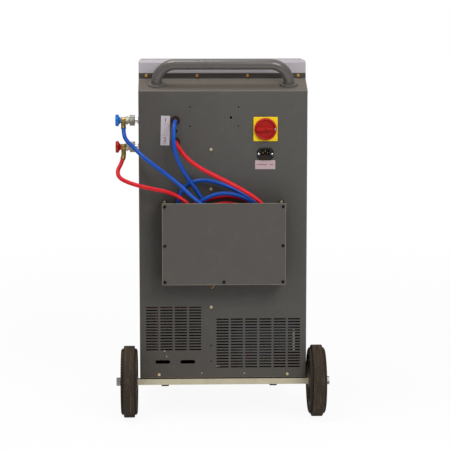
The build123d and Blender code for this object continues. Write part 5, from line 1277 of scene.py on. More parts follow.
def add_loft(shape, place, outlines):
    """Skins between outlines that have as many points each, and closes both ends."""
    rings = [[shape.verts.new(place @ (Vector(point) * MM)) for point in outline] for outline in outlines]
    for lower, upper in zip(rings, rings[1:]):
        for index in range(len(lower)):
            after = (index + 1) % len(lower)
            shape.faces.new((lower[index], lower[after], upper[after], upper[index]))
    shape.faces.new(list(reversed(rings[0])))
    shape.faces.new(rings[-1])


SWITCH_X = 128.0
SWITCH_Z = 887.5
SWITCH_PLATE = 4.0
KNOB_LIFT = 4.3
KNOB_THICKNESS = 9.0
GRIP_ENDS = {1: 22.0, -1: 29.0}


def build_switch(settings):
    """The main switch's knob with its grip bar and padlock slide, and the marks on its plate."""
    radius = settings.knob_radius / MM
    place = rear_frame(SWITCH_X, KNOB_LIFT, SWITCH_Z)
    disc = [
        (0, -9.5), (4.7, -9.5), (4.9, -9.2), (4.9, 0.0), (radius - 0.8, 0.0), (radius, 0.8), (radius, 6.6),
        (radius - 0.5, 8.2), (radius - 1.6, 9.2), (radius - 2.8, 9.4), (radius - 4.6, 9.4), (radius - 5.8, 8.9),
        (radius - 6.4, 7.8), (radius - 6.8, 4.4), (radius - 7.6, 3.8), (0, 3.8),
    ]
    knob = bmesh.new()
    notches = settings.notches

    def notched(index, turn):
        return 1.0 - 0.012 * max(0.0, math.cos(notches * turn)) ** 8 if 4 < index < 9 else 1.0

    add_turned(knob, disc, place, steps=192, scallop=notched)
    width = settings.grip_width / MM
    outlines = []
    for rise, spread in ((3.0, 2.4), (9.4, 1.2), (11.0, 0.3), (15.0, 0.0), (16.3, -0.5), (16.9, -1.4), (17.0, -2.6)):
        outline = []
        for end, half in ((1, width * 0.3), (-1, width / 2)):
            reach = half + spread / 2
            for step in range(13):
                turn = end * math.pi / 2 * (step / 6 - 1)
                across = end * (GRIP_ENDS[end] - half) + end * reach * math.cos(turn)
                outline.append((across, reach * math.sin(turn), rise))
        outlines.append(outline)
    add_loft(knob, place, outlines)
    piece = add_piece("main_switch_knob", mesh_from(knob, "main switch knob"), "red", "knob")
    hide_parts("switch_knob")
    dot = bmesh.new()
    add_turned(dot, [(0, 16.8), (3.1, 16.8), (3.1, 17.15), (2.7, 17.35), (0, 17.35)], place, steps=40)
    add_piece("knob_centre_plug", mesh_from(dot, "centre plug"), "deep_red", "knob")
    slide = bmesh.new()
    slide_place = rear_frame(SWITCH_X + radius - 4.4, KNOB_LIFT, SWITCH_Z)
    add_block(slide, slide_place, (-2.2, -3.4, 8.6), (2.2, 3.4, 10.3), 0.7, 3)
    add_piece("padlock_slide", mesh_from(slide, "padlock slide"), "pale", "knob")
    eye = bmesh.new()
    add_turned(eye, [(0, 10.1), (1.2, 10.1), (1.2, 10.45), (0, 10.45)], slide_place, steps=24)
    add_piece("padlock_eye", mesh_from(eye, "padlock eye"), "black", "knob")
    ring = bmesh.new()
    plate_place = rear_frame(SWITCH_X, SWITCH_PLATE, SWITCH_Z)
    rim = radius + 1.2
    add_turned(
        ring, [(radius - 6, -0.2), (rim, -0.2), (rim + 0.1, 0.08), (rim - 0.2, 0.2), (radius - 6, 0.2), (radius - 6, -0.2)],
        plate_place, steps=128,
    )
    add_piece("switch_ring", mesh_from(ring, "switch ring"), "dull_yellow")
    marks = bmesh.new()
    add_text(marks, "0", rear_text(SWITCH_X, SWITCH_PLATE, SWITCH_Z + 0.43 * 73), 5.4)
    add_text(marks, "1", rear_text(SWITCH_X - 0.43 * 73, SWITCH_PLATE, SWITCH_Z), 5.4)
    add_piece("switch_marks", mesh_from(marks, "switch marks"), "ink")
    rims = bmesh.new()
    for across in (-31.0, 31.0):
        for up in (-31.0, 31.0):
            spot = rear_frame(SWITCH_X + across, SWITCH_PLATE, SWITCH_Z + up)
            add_turned(rims, [(0, -0.3), (1.7, -0.3), (1.7, 0.2), (1.2, 0.45), (0, 0.45)], spot, steps=24)
    add_piece("switch_plate_plugs", mesh_from(rims, "plate plugs"), "dull_yellow")


def rear_text(x, out, z):
    """A place for figures on the rear panel, which read upright from behind."""
    turned = Matrix(((1, 0, 0), (0, 0, -1), (0, 1, 0))).to_4x4()
    turned.translation = Vector((x * MM, REAR - out * MM, z * MM))
    return turned


INLET_X = 127.7
INLET_Z = 812.0
INLET_FLANGE = 3.0
SOCKET_DROP = 5.5
SOCKET_SIZE = (24.0, 16.5)
SOCKET_DEPTH = 16.0
PIN_PLACES = ((-7.0, 4.0), (0.0, 8.5), (7.0, 4.0))
PIN_SIZE = (2.0, 4.0)


def build_inlet(settings):
    """Plated pins, moulded rims and bright screws of the mains inlet."""
    pins = bmesh.new()
    half_width, half_height = (size / 2 + 0.15 for size in PIN_SIZE)
    for across, up in PIN_PLACES:
        place = rear_frame(INLET_X + across, INLET_FLANGE - SOCKET_DEPTH, INLET_Z + up)
        add_block(
            pins, place, (-half_width, -half_height, 0.0), (half_width, half_height, settings.pin_length / MM), 0.5, 2
        )
    add_piece("inlet_pins", mesh_from(pins, "inlet pins"), "brass")
    rim = bmesh.new()
    place = rear_frame(INLET_X, INLET_FLANGE, INLET_Z + SOCKET_DROP)
    half_x, half_y = (size / 2 for size in SOCKET_SIZE)
    for low, high in (
        ((-half_x - 1.6, -half_y - 1.4), (half_x + 1.6, -half_y)),
        ((-half_x - 1.6, half_y), (half_x + 1.6, half_y + 1.4)),
        ((-half_x - 1.6, -half_y - 1.4), (-half_x, half_y + 1.4)),
        ((half_x, -half_y - 1.4), (half_x + 1.6, half_y + 1.4)),
    ):
        add_block(rim, place, (*low, -0.3), (*high, 0.9), 0.3, 2)
    add_piece("inlet_rim", mesh_from(rim, "inlet rim"), "black")
    screws = bmesh.new()
    crosses = bmesh.new()
    for side in (-1, 1):
        add_pan_head(screws, crosses, rear_frame(INLET_X + side * 20.0, INLET_FLANGE, INLET_Z), 3.9, 2.2, 0.6 * side)
    add_piece("inlet_screws", mesh_from(screws, "inlet screws"), "chrome")
    add_piece("inlet_screw_recesses", mesh_from(crosses, "screw recesses"), "black")


def add_pan_head(heads, crosses, place, radius, height, turn):
    """A domed screw head with its shank, and the dark cross of its recess."""
    profile = [(0, -4.0), (1.7, -4.0), (1.7, -0.2), (radius - 0.2, -0.2), (radius, 0.0)]
    for step in range(1, 9):
        lean = math.pi / 2 * step / 9
        profile.append((radius * math.cos(lean), height * math.sin(lean)))
    profile.append((0, height))
    add_turned(heads, profile, place, steps=40)
    reach = 0.52 * radius
    for quarter in (turn, turn + math.pi / 2):
        spot = place @ Matrix.Rotation(quarter, 4, "Z")
        add_block(
            crosses, spot, (-reach, -0.11 * radius, height - 0.9), (reach, 0.11 * radius, height + 0.03), 0.08, 1
        )


RIVET_PLACES = ((-66.0, 137.0), (65.0, 136.0))
LEANING_SCREW_TOP = (-20.0, 40.0, 427.0)
LEANING_SCREW_LEAN = (-0.62, 0.1, -0.78)
LEANING_SCREW_LENGTH = 26.0
THREAD_PITCH = 1.3


def build_fasteners(settings):
    """Small rivets at the foot of the panel, and the brass screw that leans below the tray."""
    rivets = bmesh.new()
    for x, z in RIVET_PLACES:
        dome = [(0, -0.5), (settings.rivet_radius / MM, -0.5), (settings.rivet_radius / MM, 0.0)]
        for step in range(1, 7):
            lean = math.pi / 2 * step / 7
            dome.append((settings.rivet_radius / MM * math.cos(lean), 1.5 * math.sin(lean)))
        dome += [(0.9, 1.45), (0.8, 1.0), (0, 1.0)]
        add_turned(rivets, dome, rear_frame(x, 0.0, z), steps=32)
    add_piece("panel_rivets", mesh_from(rivets, "panel rivets"), "zinc")
    x, out, z = LEANING_SCREW_TOP
    lean = frame_towards((x * MM, REAR - out * MM, z * MM), LEANING_SCREW_LEAN)
    thread = [(0, -3.0), (1.9, -3.0), (1.9, 0.0)]
    for turn in range(int(LEANING_SCREW_LENGTH / THREAD_PITCH)):
        start = turn * THREAD_PITCH
        thread += [(1.55, start + 0.2), (2.0, start + 0.65), (1.55, start + 1.1)]
    thread += [(1.0, LEANING_SCREW_LENGTH + 0.6), (0, LEANING_SCREW_LENGTH + 1.2)]
    screw = bmesh.new()
    add_turned(screw, thread, lean, steps=24)
    add_piece("leaning_screw", mesh_from(screw, "leaning screw"), "gilt")


HOSE_LABEL = (-174.5, 883.5, 27.0, 89.0)
INLET_LABEL = (127.5, 779.5, 61.0, 27.0)
LABEL_TILT = math.radians(-1.6)


def add_label(shape, lines, x, z, width, height, tilt, cells):
    """A thin label with rounded corners, divided into cells by printed lines."""
    place = rear_text(x, 0.0, z) @ Matrix.Rotation(tilt, 4, "Z")
    add_block(shape, place, (-width / 2, -height / 2, -0.05), (width / 2, height / 2, 0.28), 0.1, 1)
    for cell in range(1, cells):
        up = height / 2 - height * cell / cells
        add_block(lines, place, (-width / 2 + 1, up - 0.3, 0.2), (width / 2 - 1, up + 0.3, 0.33))
    return place


def build_labels(settings):
    """The strip of plain numbered labels beside the hose ports, and the plain one under the mains inlet."""
    strip = bmesh.new()
    marks = bmesh.new()
    x, z, width, height = HOSE_LABEL
    place = add_label(strip, marks, x, z, width, height, LABEL_TILT, 3)
    figures = bmesh.new()
    for index, figure in ((0, "1"), (2, "2")):
        up = height / 2 - height * (index + 0.5) / 3
        add_text(figures, figure, place @ Matrix.Translation((0, (up + 2) * MM, 0.3 * MM)), settings.figure_size / MM)
        for line, reach in ((-7.5, 8.0), (-10.5, 6.5)):
            add_block(marks, place, (-reach, up + line - 0.4, 0.2), (reach, up + line + 0.4, 0.34))
    add_piece("hose_label_strip", mesh_from(strip, "hose labels"), "label")
    add_piece("hose_label_lines", mesh_from(marks, "label lines"), "faint_ink")
    add_piece("hose_label_figures", mesh_from(figures, "label figures"), "maroon_ink")
    blank = bmesh.new()
    frame_lines = bmesh.new()
    x, z, width, height = INLET_LABEL
    place = add_label(blank, frame_lines, x, z, width, height, 0.0, 1)
    for start, end in ((-25.0, 5.0), (13.0, 25.0)):
        add_block(frame_lines, place, (start, -0.5, 0.2), (end, 1.9, 0.34))
    add_piece("inlet_label", mesh_from(blank, "inlet label"), "pink_label")
    add_piece("inlet_label_bars", mesh_from(frame_lines, "label bars"), "dull_ink")


HANDLE_HALF_WIDTH = 200.0
HANDLE_OUT = 40.0
SLOPE = math.atan2(32.0, 78.0)
BEND_Z = 1003.0
HANDLE_TUBE = 16.0


def build_handle(settings):
    """Weld beads where the handle's tube meets its round feet, and where the feet meet the slope."""
    beads = bmesh.new()
    random.seed(7)
    for side in (-1, 1):
        base = Vector((side * HANDLE_HALF_WIDTH * MM, REAR + HANDLE_OUT * MM, 0.0))
        base.z = (BEND_Z + HANDLE_OUT * math.tan(SLOPE)) * MM
        place = frame_towards(base, (0, -math.sin(SLOPE), math.cos(SLOPE)), up=(1, 0, 0))
        for ring_radius, height, size in ((HANDLE_TUBE + 0.6, 5.4, settings.bead / MM), (26.4, 0.6, 1.2)):
            phase = random.uniform(0, 6.28)
            points = []
            radii = []
            for step in range(145):
                turn = 2 * math.pi * step / 144
                wave = math.sin(26 * turn + phase) * 0.22 + math.sin(5 * turn) * 0.12
                points.append(
                    place @ Vector((ring_radius * MM * math.cos(turn), ring_radius * MM * math.sin(turn), height * MM))
                )
                radii.append(size * (1 + wave) * MM)
            add_tube(beads, points, size * MM, steps=12, capped=True, radii=radii)
    add_piece("handle_weld_beads", mesh_from(beads, "weld beads", math.radians(60)), "weld")


CONDENSER_WIDTH = 172.0
CONDENSER_HEIGHT = 156.0
CONDENSER_DEPTH = 28.0


def build_condenser(settings):
    """The condenser: a stack of thin fins, the copper tubes through them and the frame round them."""
    low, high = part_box("condenser")
    middle = (low + high) / 2
    centre_z = (low.z + 2 * (high.z - CONDENSER_HEIGHT * MM / 2) - low.z) / 2
    spot = Matrix.Translation((middle.x, middle.y, centre_z))
    count = settings.fins
    pitch = (CONDENSER_WIDTH - 4) * MM / (count - 1)
    fins = grown(
        tree_of(row_tree), "condenser_fins", "fin", place=spot, Columns=count, Rows=1, Pitch=(pitch, 0.0, 0.0),
        Block_Size=(settings.fin_thickness, CONDENSER_DEPTH * MM - 0.002, CONDENSER_HEIGHT * MM - 0.006),
    )
    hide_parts("condenser")
    sides = bmesh.new()
    half = CONDENSER_WIDTH / 2
    foot = (centre_z - low.z) / MM
    for side in (-1, 1):
        inner, outer = sorted((side * (half - 1.0), side * (half + 1.9)))
        add_block(
            sides, spot, (inner, -CONDENSER_DEPTH / 2, -foot), (outer, CONDENSER_DEPTH / 2, CONDENSER_HEIGHT / 2), 0.3, 1
        )
    for up in (-1, 1):
        edge = CONDENSER_HEIGHT / 2 - 1.4
        bottom, top = sorted((up * edge, up * (edge + 1.4)))
        add_block(sides, spot, (-half, -CONDENSER_DEPTH / 2, bottom), (half, CONDENSER_DEPTH / 2, top), 0.3, 1)
    add_piece("condenser_frame", mesh_from(sides, "condenser frame"), "galvanised")
    tubes = bmesh.new()
    rows = settings.tube_rows
    reach = CONDENSER_HEIGHT / (rows + 0.6)
    for row in range(rows):
        up = (row - (rows - 1) / 2) * reach
        line = [spot @ Vector((x * MM, 0, up * MM)) for x in (-half - 0.5, half + 0.5)]
        add_tube(tubes, line, 4.6 * MM, steps=24)
    add_piece("condenser_tubes", mesh_from(tubes, "condenser tubes"), "copper")


AXLE_Y = -174.0
AXLE_Z = 110.0
WHEEL_X = 288.0


def build_wheels(settings):
    """Raised ribs round the tyres' side walls, and the tread blocks round their shoulders."""
    for side, sign in (("left", -1), ("right", 1)):
        ribs = bmesh.new()
        for face in (-1, 1):
            place = frame_towards(((sign * WHEEL_X + face * 24.4) * MM, AXLE_Y * MM, AXLE_Z * MM), (face, 0, 0))
            for radius in (87.0, 92.5):
                add_turned(
                    ribs,
                    [(radius - 1.4, -0.4), (radius - 0.7, 0.35), (radius, 0.58), (radius + 0.7, 0.35),
                     (radius + 1.4, -0.4), (radius - 1.4, -0.4)],
                    place, steps=160,
                )
        add_piece(f"{side}_tyre_ribs", mesh_from(ribs, "tyre ribs"), "tyre", f"{side}_wheel")
        blocks = grown(
            tree_of(ring_tree), f"{side}_tread_blocks", "tyre", f"{side}_wheel",
            place=frame_towards((sign * WHEEL_X * MM, AXLE_Y * MM, AXLE_Z * MM), (1, 0, 0)),
            Count=settings.tread_blocks, Radius=0.0985, First_Angle=0.0,
            Step_Angle=2 * math.pi / settings.tread_blocks, Block_Size=(0.006, 0.0042, 0.0445),
        )


# The sloped face of the console, whose own X runs to the operator's right and Y up the slope
FASCIA_ANGLE = math.radians(23.9)
FASCIA_CENTRE = Vector((0.0, 156.5, 1037.0))
PLATE_TOP = 1.0
GAUGE_PLACES = {"low": (-138.0, 38.0), "high": (138.0, 38.0)}
DIAL_HEIGHT = -1.0
DIAL_RADIUS = 35.0
WINDOW_PLACE = (0.0, 50.0)
WINDOW_OPENING = (142.0, 68.0)
MEMBRANE_PLACE = (20.0, -58.0)
MEMBRANE_TOP = 1.8
KEY_PLACES = ((-150.0, -58.0), (-96.0, -58.0))
KEY_RADIUS = 13.0
PRINTER_PLACE = (140.0, -54.0)


def fascia_frame(x=0.0, y=0.0, height=0.0):
    """A place on the sloped face in its own axes, in millimetres."""
    across = Vector((-1.0, 0.0, 0.0))
    normal = Vector((0.0, math.sin(FASCIA_ANGLE), math.cos(FASCIA_ANGLE)))
    up = normal.cross(across)
    turned = Matrix((across, up, normal)).transposed().to_4x4()
    turned.translation = (FASCIA_CENTRE + across * x + up * y + normal * height) * MM
    return turned


def build_gauges(settings):
    """Dial faces with their scales and figures, and the bright rims round the gauges."""
    for side, (x, y) in GAUGE_PLACES.items():
        face = bmesh.new()
        place = fascia_frame(x, y, DIAL_HEIGHT)
        hole = 2.2
        add_turned(
            face, [(hole, 0.0), (DIAL_RADIUS, 0.0), (DIAL_RADIUS, 0.22), (hole, 0.22), (hole, 0.0)], place, steps=96
        )
        add_piece(f"{side}_dial_face", mesh_from(face, "dial face"), "dial")
        start = math.radians(-45)
        for name, count, radius, size in (
            ("fine_marks", 51, 0.0312, (0.0024, 0.0003, 0.0001)),
            ("main_marks", 11, 0.0300, (0.0048, 0.0008, 0.0001)),
        ):
            grown(
                tree_of(ring_tree), f"{side}_{name}", "ink", place=place @ Matrix.Translation((0, 0, 0.235 * MM)),
                Count=count, Radius=radius, First_Angle=start, Step_Angle=math.radians(270) / (count - 1),
                Block_Size=size,
            )
        grown(
            tree_of(ring_tree), f"{side}_colour_band", "blue" if side == "low" else "red",
            place=place @ Matrix.Translation((0, 0, 0.235 * MM)), Count=60, Radius=0.0262,
            First_Angle=start, Step_Angle=math.radians(100) / 59, Block_Size=(0.0016, 0.00085, 0.0001),
        )
        figures = bmesh.new()
        for index in range(0, 11, 2):
            turn = math.radians(225 - 27 * index)
            spot = (21.5 * MM * math.cos(turn), 21.5 * MM * math.sin(turn), 0.3 * MM)
            add_text(figures, str(index * settings.figure_step), place @ Matrix.Translation(spot), 4.4)
        add_piece(f"{side}_dial_figures", mesh_from(figures, "dial figures"), "ink")
        rim = bmesh.new()
        add_turned(
            rim, [(42.3, 0.0), (43.4, 0.0), (43.4, 1.2), (42.6, 3.6), (41.6, 5.4), (39.6, 6.0), (38.2, 5.6), (38.2, 5.0),
                  (42.3, 5.0), (42.3, 0.0)],
            fascia_frame(x, y, PLATE_TOP), steps=128,
        )
        add_piece(f"{side}_gauge_rim", mesh_from(rim, "gauge rim"), "chrome")


def build_display(settings):
    """The screen under the window with plain bars and figures."""
    x, y = WINDOW_PLACE
    width, height = WINDOW_OPENING
    screen = bmesh.new()
    place = fascia_frame(x, y, 0.0)
    add_block(
        screen, place, (-width / 2 - 3, -height / 2 - 3, -5.0), (width / 2 + 3, height / 2 + 3, -2.02), 0.4, 2
    )
    add_piece("display_screen", mesh_from(screen, "display screen"), "screen")
    marks = bmesh.new()
    for index, words in enumerate(("1  0.85", "2  1.20", "3  0.46")):
        spot = place @ Matrix.Translation((0, (20 - 20 * index) * MM, -1.95 * MM))
        add_text(marks, words, spot, settings.figure_size / MM)
    add_piece("screen_figures", mesh_from(marks, "screen figures"), "screen_ink")
    grown(
        tree_of(row_tree), "screen_bars", "screen_ink", place=place @ Matrix.Translation((48 * MM, 0, -1.93 * MM)),
        Columns=1, Rows=9, Pitch=(0.01, 0.006, 0.0), Block_Size=(0.016, 0.003, 0.0001),
    )


def build_keys(settings):
    """The membrane's raised keys with figures, and the rims round the two push keys."""
    x, y = MEMBRANE_PLACE
    place = fascia_frame(x, y, MEMBRANE_TOP)
    backing = bmesh.new()
    add_block(backing, place, (-59, -30, -0.1), (59, 30, 0.25), 0.1, 1)
    add_piece("membrane_film", mesh_from(backing, "membrane film"), "pale")
    keys = bmesh.new()
    figures = bmesh.new()
    labels = ("1", "2", "3", "+", "0", "4", "5", "6", "-", ".", "7", "8", "9", "<", ">")
    for index, label in enumerate(labels):
        column = index % 5
        row = index // 5
        across = (column - 2) * settings.pitch_x / MM
        up = (1 - row) * settings.pitch_y / MM
        add_block(keys, place, (across - 9, up - 6.5, 0.0), (across + 9, up + 6.5, 1.1), 0.5, 3)
        add_text(figures, label, place @ Matrix.Translation((across * MM, up * MM, 1.12 * MM)), 5.6)
    add_piece("membrane_keys", mesh_from(keys, "membrane keys"), "key_grey")
    add_piece("membrane_figures", mesh_from(figures, "membrane figures"), "ink")
    rims = bmesh.new()
    for x, y in KEY_PLACES:
        rim = KEY_RADIUS + 0.5
        add_turned(
            rims, [(rim, 0.0), (rim + 3.4, 0.0), (rim + 3.0, 1.0), (rim + 1.4, 1.7), (rim, 1.4), (rim, 0.0)],
            fascia_frame(x, y, PLATE_TOP), steps=96,
        )
    add_piece("push_key_rims", mesh_from(rims, "key rims"), "chrome")


def build_cover(settings):
    """Scale marks on the bottles in the front cover's bay, and grips round their caps."""
    low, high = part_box("oil_bottles")
    marks = bmesh.new()
    middle_x = (low.x + high.x) / 2
    front = high.y
    for bottle in (-1, 0, 1):
        for index in range(8):
            up = low.z + (24 + 14 * index) * MM
            half = (5.0 if index % 2 else 8.0) * MM
            line = []
            for step in range(9):
                lean = (step - 4) / 4 * half / (30.1 * MM)
                line.append((middle_x + bottle * settings.bottle_pitch + 30.15 * MM * math.sin(lean),
                             front - 30.15 * MM * (1 - math.cos(lean)), up))
            add_tube(marks, line, 0.25 * MM, steps=6)
    add_piece("bottle_marks", mesh_from(marks, "bottle marks"), "ink")
    caps = bmesh.new()
    for bottle in (-1, 0, 1):
        spot = Matrix.Translation((middle_x + bottle * settings.bottle_pitch, (low.y + high.y) / 2, high.z - 24 * MM))
        add_turned(
            caps, [(17.0, 1.0), (19.1, 1.0), (19.6, 1.8), (19.6, 21.0), (18.6, 22.6), (16.8, 23.2), (16.8, 1.0), (17.0, 1.0)],
            spot, steps=144, scallop=lambda index, turn: 1 - 0.03 * max(0.0, math.cos(24 * turn)) if 0 < index < 5 else 1,
        )
    add_piece("bottle_cap_grips", mesh_from(caps, "cap grips"), "black")


WIRE_X = 217.0
WIRE_DEPTH = 8.0
PANEL_SHEET = 2.0
WIRE_HEIGHTS = (206.0, 274.0)
PUMP_FOOT_FACE = 57.0
PLUG_PLACE = (80.5, 185.0)
FILTER_MAT = ((-154.0, 257.2, 184.0), (154.0, 260.9, 296.0))
PORT_PLUG = (-143.5, 0.0, 882.0)


def build_interior(settings):
    """What shows through the right vent: the pump's pale wiring strip and a red plug on its pedestal."""
    wires = bmesh.new()
    bottom, top = WIRE_HEIGHTS
    for shift in (-1.5, 1.5):
        line = [
            (WIRE_X * MM + shift * MM, REAR + WIRE_DEPTH * MM, z * MM)
            for z in (bottom, bottom + 20, (bottom + top) / 2, top - 20, top)
        ]
        add_tube(wires, line, settings.wire_radius, steps=20)
    add_piece("pump_wires", mesh_from(wires, "pump wires"), "cable")
    clips = bmesh.new()
    for z in (bottom + 6, (bottom + top) / 2, top - 6):
        add_block(
            clips, rear_frame(WIRE_X, -WIRE_DEPTH, z), (-4.2, -1.2, -3.4), (4.2, 1.2, WIRE_DEPTH - PANEL_SHEET), 0.5, 2
        )
    add_piece("wire_clips", mesh_from(clips, "wire clips"), "black")
    plug = bmesh.new()
    add_turned(
        plug, [(0, -0.5), (8.6, -0.5), (9.0, 0.4), (8.8, 3.0), (7.4, 3.8), (0, 3.9)],
        rear_frame(PLUG_PLACE[0], -PUMP_FOOT_FACE, PLUG_PLACE[1]), steps=6,
    )
    add_piece("pump_drain_plug", mesh_from(plug, "drain plug"), "deep_red")
    mat = bmesh.new()
    add_block(mat, IDENTITY, *FILTER_MAT, 0.8, 2)
    add_piece("air_filter_mat", mesh_from(mat, "air filter mat"), "felt")
    collar = bmesh.new()
    add_turned(
        collar, [(7.0, -1.2), (10.4, -1.2), (10.4, 0.0), (10.0, 0.4), (7.0, 0.4), (7.0, -1.2)],
        rear_frame(*PORT_PLUG), steps=64,
    )
    add_piece("middle_port_collar", mesh_from(collar, "port collar"), "handle")
    cap = bmesh.new()
    add_turned(
        cap, [(0, -3.0), (7.0, -3.0), (7.2, 0.4), (7.0, 1.2), (6.2, 1.6), (4.0, 1.6), (3.4, 0.8), (0, 0.8)],
        rear_frame(*PORT_PLUG), steps=64,
    )
    add_piece("middle_port_plug", mesh_from(cap, "port plug"), "black")


CAMERA_PLACE = (-0.1573, -5.186, 1.2424)
CAMERA_TURN = (math.pi / 2 - 0.1285, 0.00026, -0.03261)
CAMERA_LENS = 132.84
SENSOR = 36.0


def place_camera():
    """The camera at the photograph's place and angle."""
    data = bpy.data.cameras.new("camera")
    data.lens = CAMERA_LENS
    data.sensor_width = SENSOR
    data.sensor_fit = "HORIZONTAL"
    data.clip_end = 60.0
    camera = bpy.data.objects.new("camera", data)
    bpy.context.scene.collection.objects.link(camera)
    camera.location = CAMERA_PLACE
    camera.rotation_euler = CAMERA_TURN
    bpy.context.scene.camera = camera
    bpy.context.scene.view_settings.view_transform = "Standard"
    return camera


def white_surroundings(strength):
    """A world that looks white, and lights the part with a softer white."""
    world = bpy.data.worlds.new("surroundings")
    world.use_nodes = True
    bpy.context.scene.world = world
    world.node_tree.nodes.clear()
    graph = Graph(world.node_tree)
    rays = graph.add("ShaderNodeLightPath").outputs
    seen = graph.math("MAXIMUM", rays["Is Camera Ray"], rays["Is Transmission Ray"])
    dim = graph.add("ShaderNodeBackground", Color=(1.0, 1.0, 1.0, 1.0), Strength=strength)
    bright = graph.add("ShaderNodeBackground", Color=(1.0, 1.0, 1.0, 1.0), Strength=1.0)
    blend = graph.add("ShaderNodeMixShader")
    graph.join(seen, blend.inputs[0])
    graph.join(dim.outputs[0], blend.inputs[1])
    graph.join(bright.outputs[0], blend.inputs[2])
    graph.join(blend.outputs[0], graph.add("ShaderNodeOutputWorld").inputs["Surface"])


def pale_floor(radius, fade_start, shade):
    """A plain white floor with a soft shadow, which fades into the white surroundings away from the part."""
    material, graph, shader = new_material("pale floor", Roughness=0.9, Specular_IOR_Level=0.0)
    place = graph.add("ShaderNodeTexCoord").outputs["Object"]
    cloud = graph.add("ShaderNodeTexNoise", Vector=place, Scale=3.0, Detail=2.0).outputs["Fac"]
    tone = graph.mix(graph.ramp(cloud, 0.3, 0.7), linear(254, 254, 254), linear(255, 255, 255))
    graph.join(tone, shader["Base Color"])
    reach = graph.add("ShaderNodeVectorMath", {"operation": "LENGTH"})
    graph.join(place, reach.inputs[0])
    graph.join(graph.ramp(reach.outputs["Value"], radius, fade_start), shader["Alpha"])
    seen = graph.add("ShaderNodeLightPath").outputs["Is Camera Ray"]
    white = graph.add("ShaderNodeEmission", Color=(1.0, 1.0, 1.0, 1.0), Strength=1.0)
    blend = graph.add("ShaderNodeMixShader")
    ends = material.node_tree.nodes["Material Output"].inputs["Surface"]
    lit = ends.links[0].from_socket
    graph.join(graph.math("MULTIPLY", seen, 1.0 - shade), blend.inputs[0])
    graph.join(lit, blend.inputs[1])
    graph.join(white.outputs[0], blend.inputs[2])
    graph.join(blend.outputs[0], ends)
    floor = bmesh.new()
    bmesh.ops.create_circle(floor, cap_ends=True, segments=96, radius=radius)
    mesh = bpy.data.meshes.new("floor")
    floor.to_mesh(mesh)
    floor.free()
    mesh.materials.append(material)
    ground = bpy.data.objects.new("floor", mesh)
    ground.location = (0.0, 0.0, FLOOR - 0.0005)
    bpy.context.scene.collection.objects.link(ground)
    return ground


def soft_light(name, place, target, size, power):
    """A square area light that looks at a point."""
    data = bpy.data.lights.new(name, "AREA")
    data.size = size
    data.energy = power
    light = bpy.data.objects.new(name, data)
    bpy.context.scene.collection.objects.link(light)
    light.location = place
    light.rotation_euler = (Vector(target) - Vector(place)).to_track_quat("-Z", "Y").to_euler()
    return light


def build_stage(settings):
    """The camera, the white surroundings, the floor and the studio lights."""
    place_camera()
    white_surroundings(settings.ambient)
    pale_floor(settings.floor_radius, settings.floor_radius / 4, settings.floor_shade)
    middle = (cad_low + cad_high) / 2
    soft_light("key light", settings.key_place, middle, 1.6, settings.key_power)
    soft_light("top light", settings.top_place, middle, 1.2, settings.top_power)


def length(name, description, default, top=1.0):
    """A length in metres that a person can set."""
    return FloatProperty(
        name=name, description=description, default=default, min=0.0, max=top, subtype="DISTANCE", unit="LENGTH"
    )


def count(name, description, default):
    """A whole number that a person can set."""
    return IntProperty(name=name, description=description, default=default, min=1, max=400)


class HoseSettings(bpy.types.PropertyGroup):
    """Sizes of the service hoses."""

    diameter: length("Diameter", "Outside diameter of both hoses", 0.0125)
    port_ferrule: length("Port ferrule", "Length of the ferrule at each port", 0.014)
    low_ferrule: length("Low-side ferrule", "Length of the ferrule at the low-side coupler", 0.006)
    high_ferrule: length("High-side ferrule", "Length of the ferrule at the high-side coupler", 0.012)


class CouplerSettings(bpy.types.PropertyGroup):
    """Sizes of the quick couplers' knobs."""

    knob_radius: length("Knob radius", "Radius of the flared knobs", 0.018)
    knob_height: length("Knob height", "Height of the flared knobs", 0.0165)
    flutes: count("Flutes", "Finger flutes round each knob", 8)
    flute_depth: FloatProperty(
        name="Flute depth", description="Depth of a flute as a share of the radius", default=0.13, min=0.0, max=0.4,
        subtype="FACTOR",
    )


class SwitchSettings(bpy.types.PropertyGroup):
    """Sizes of the main switch's knob."""

    knob_radius: length("Knob radius", "Radius of the knob", 0.0335)
    grip_width: length("Grip width", "Width of the grip bar", 0.0125)
    notches: count("Notches", "Shallow notches round the knob's edge", 24)


class InletSettings(bpy.types.PropertyGroup):
    """Sizes of the mains inlet's pins."""

    pin_length: length("Pin length", "Length of the contact pins", 0.0123)


class FastenerSettings(bpy.types.PropertyGroup):
    """Sizes of the small rivets."""

    rivet_radius: length("Rivet radius", "Radius of the rivets' heads", 0.0026)


class LabelSettings(bpy.types.PropertyGroup):
    """Sizes of the figures on the labels."""

    figure_size: length("Figure size", "Height of the printed figures", 0.018)


class HandleSettings(bpy.types.PropertyGroup):
    """Sizes of the handle's welds."""

    bead: length("Weld bead", "Half the thickness of a weld bead", 0.0017)


class CondenserSettings(bpy.types.PropertyGroup):
    """Numbers and sizes of the condenser's fins and tubes."""

    fins: count("Fins", "Number of fins", 84)
    fin_thickness: length("Fin thickness", "Thickness of a fin", 0.0004)
    tube_rows: count("Tube rows", "Rows of tubes through the fins", 6)


class WheelSettings(bpy.types.PropertyGroup):
    """Numbers of the rear tyres' tread blocks."""

    tread_blocks: count("Tread blocks", "Blocks round each tyre's shoulders", 72)


class GaugeSettings(bpy.types.PropertyGroup):
    """Scales of the two gauges."""

    figure_step: count("Figure step", "Amount between the scale's figures", 1)


class DisplaySettings(bpy.types.PropertyGroup):
    """Sizes of the display's figures."""

    figure_size: length("Figure size", "Height of the figures on the screen", 0.012)


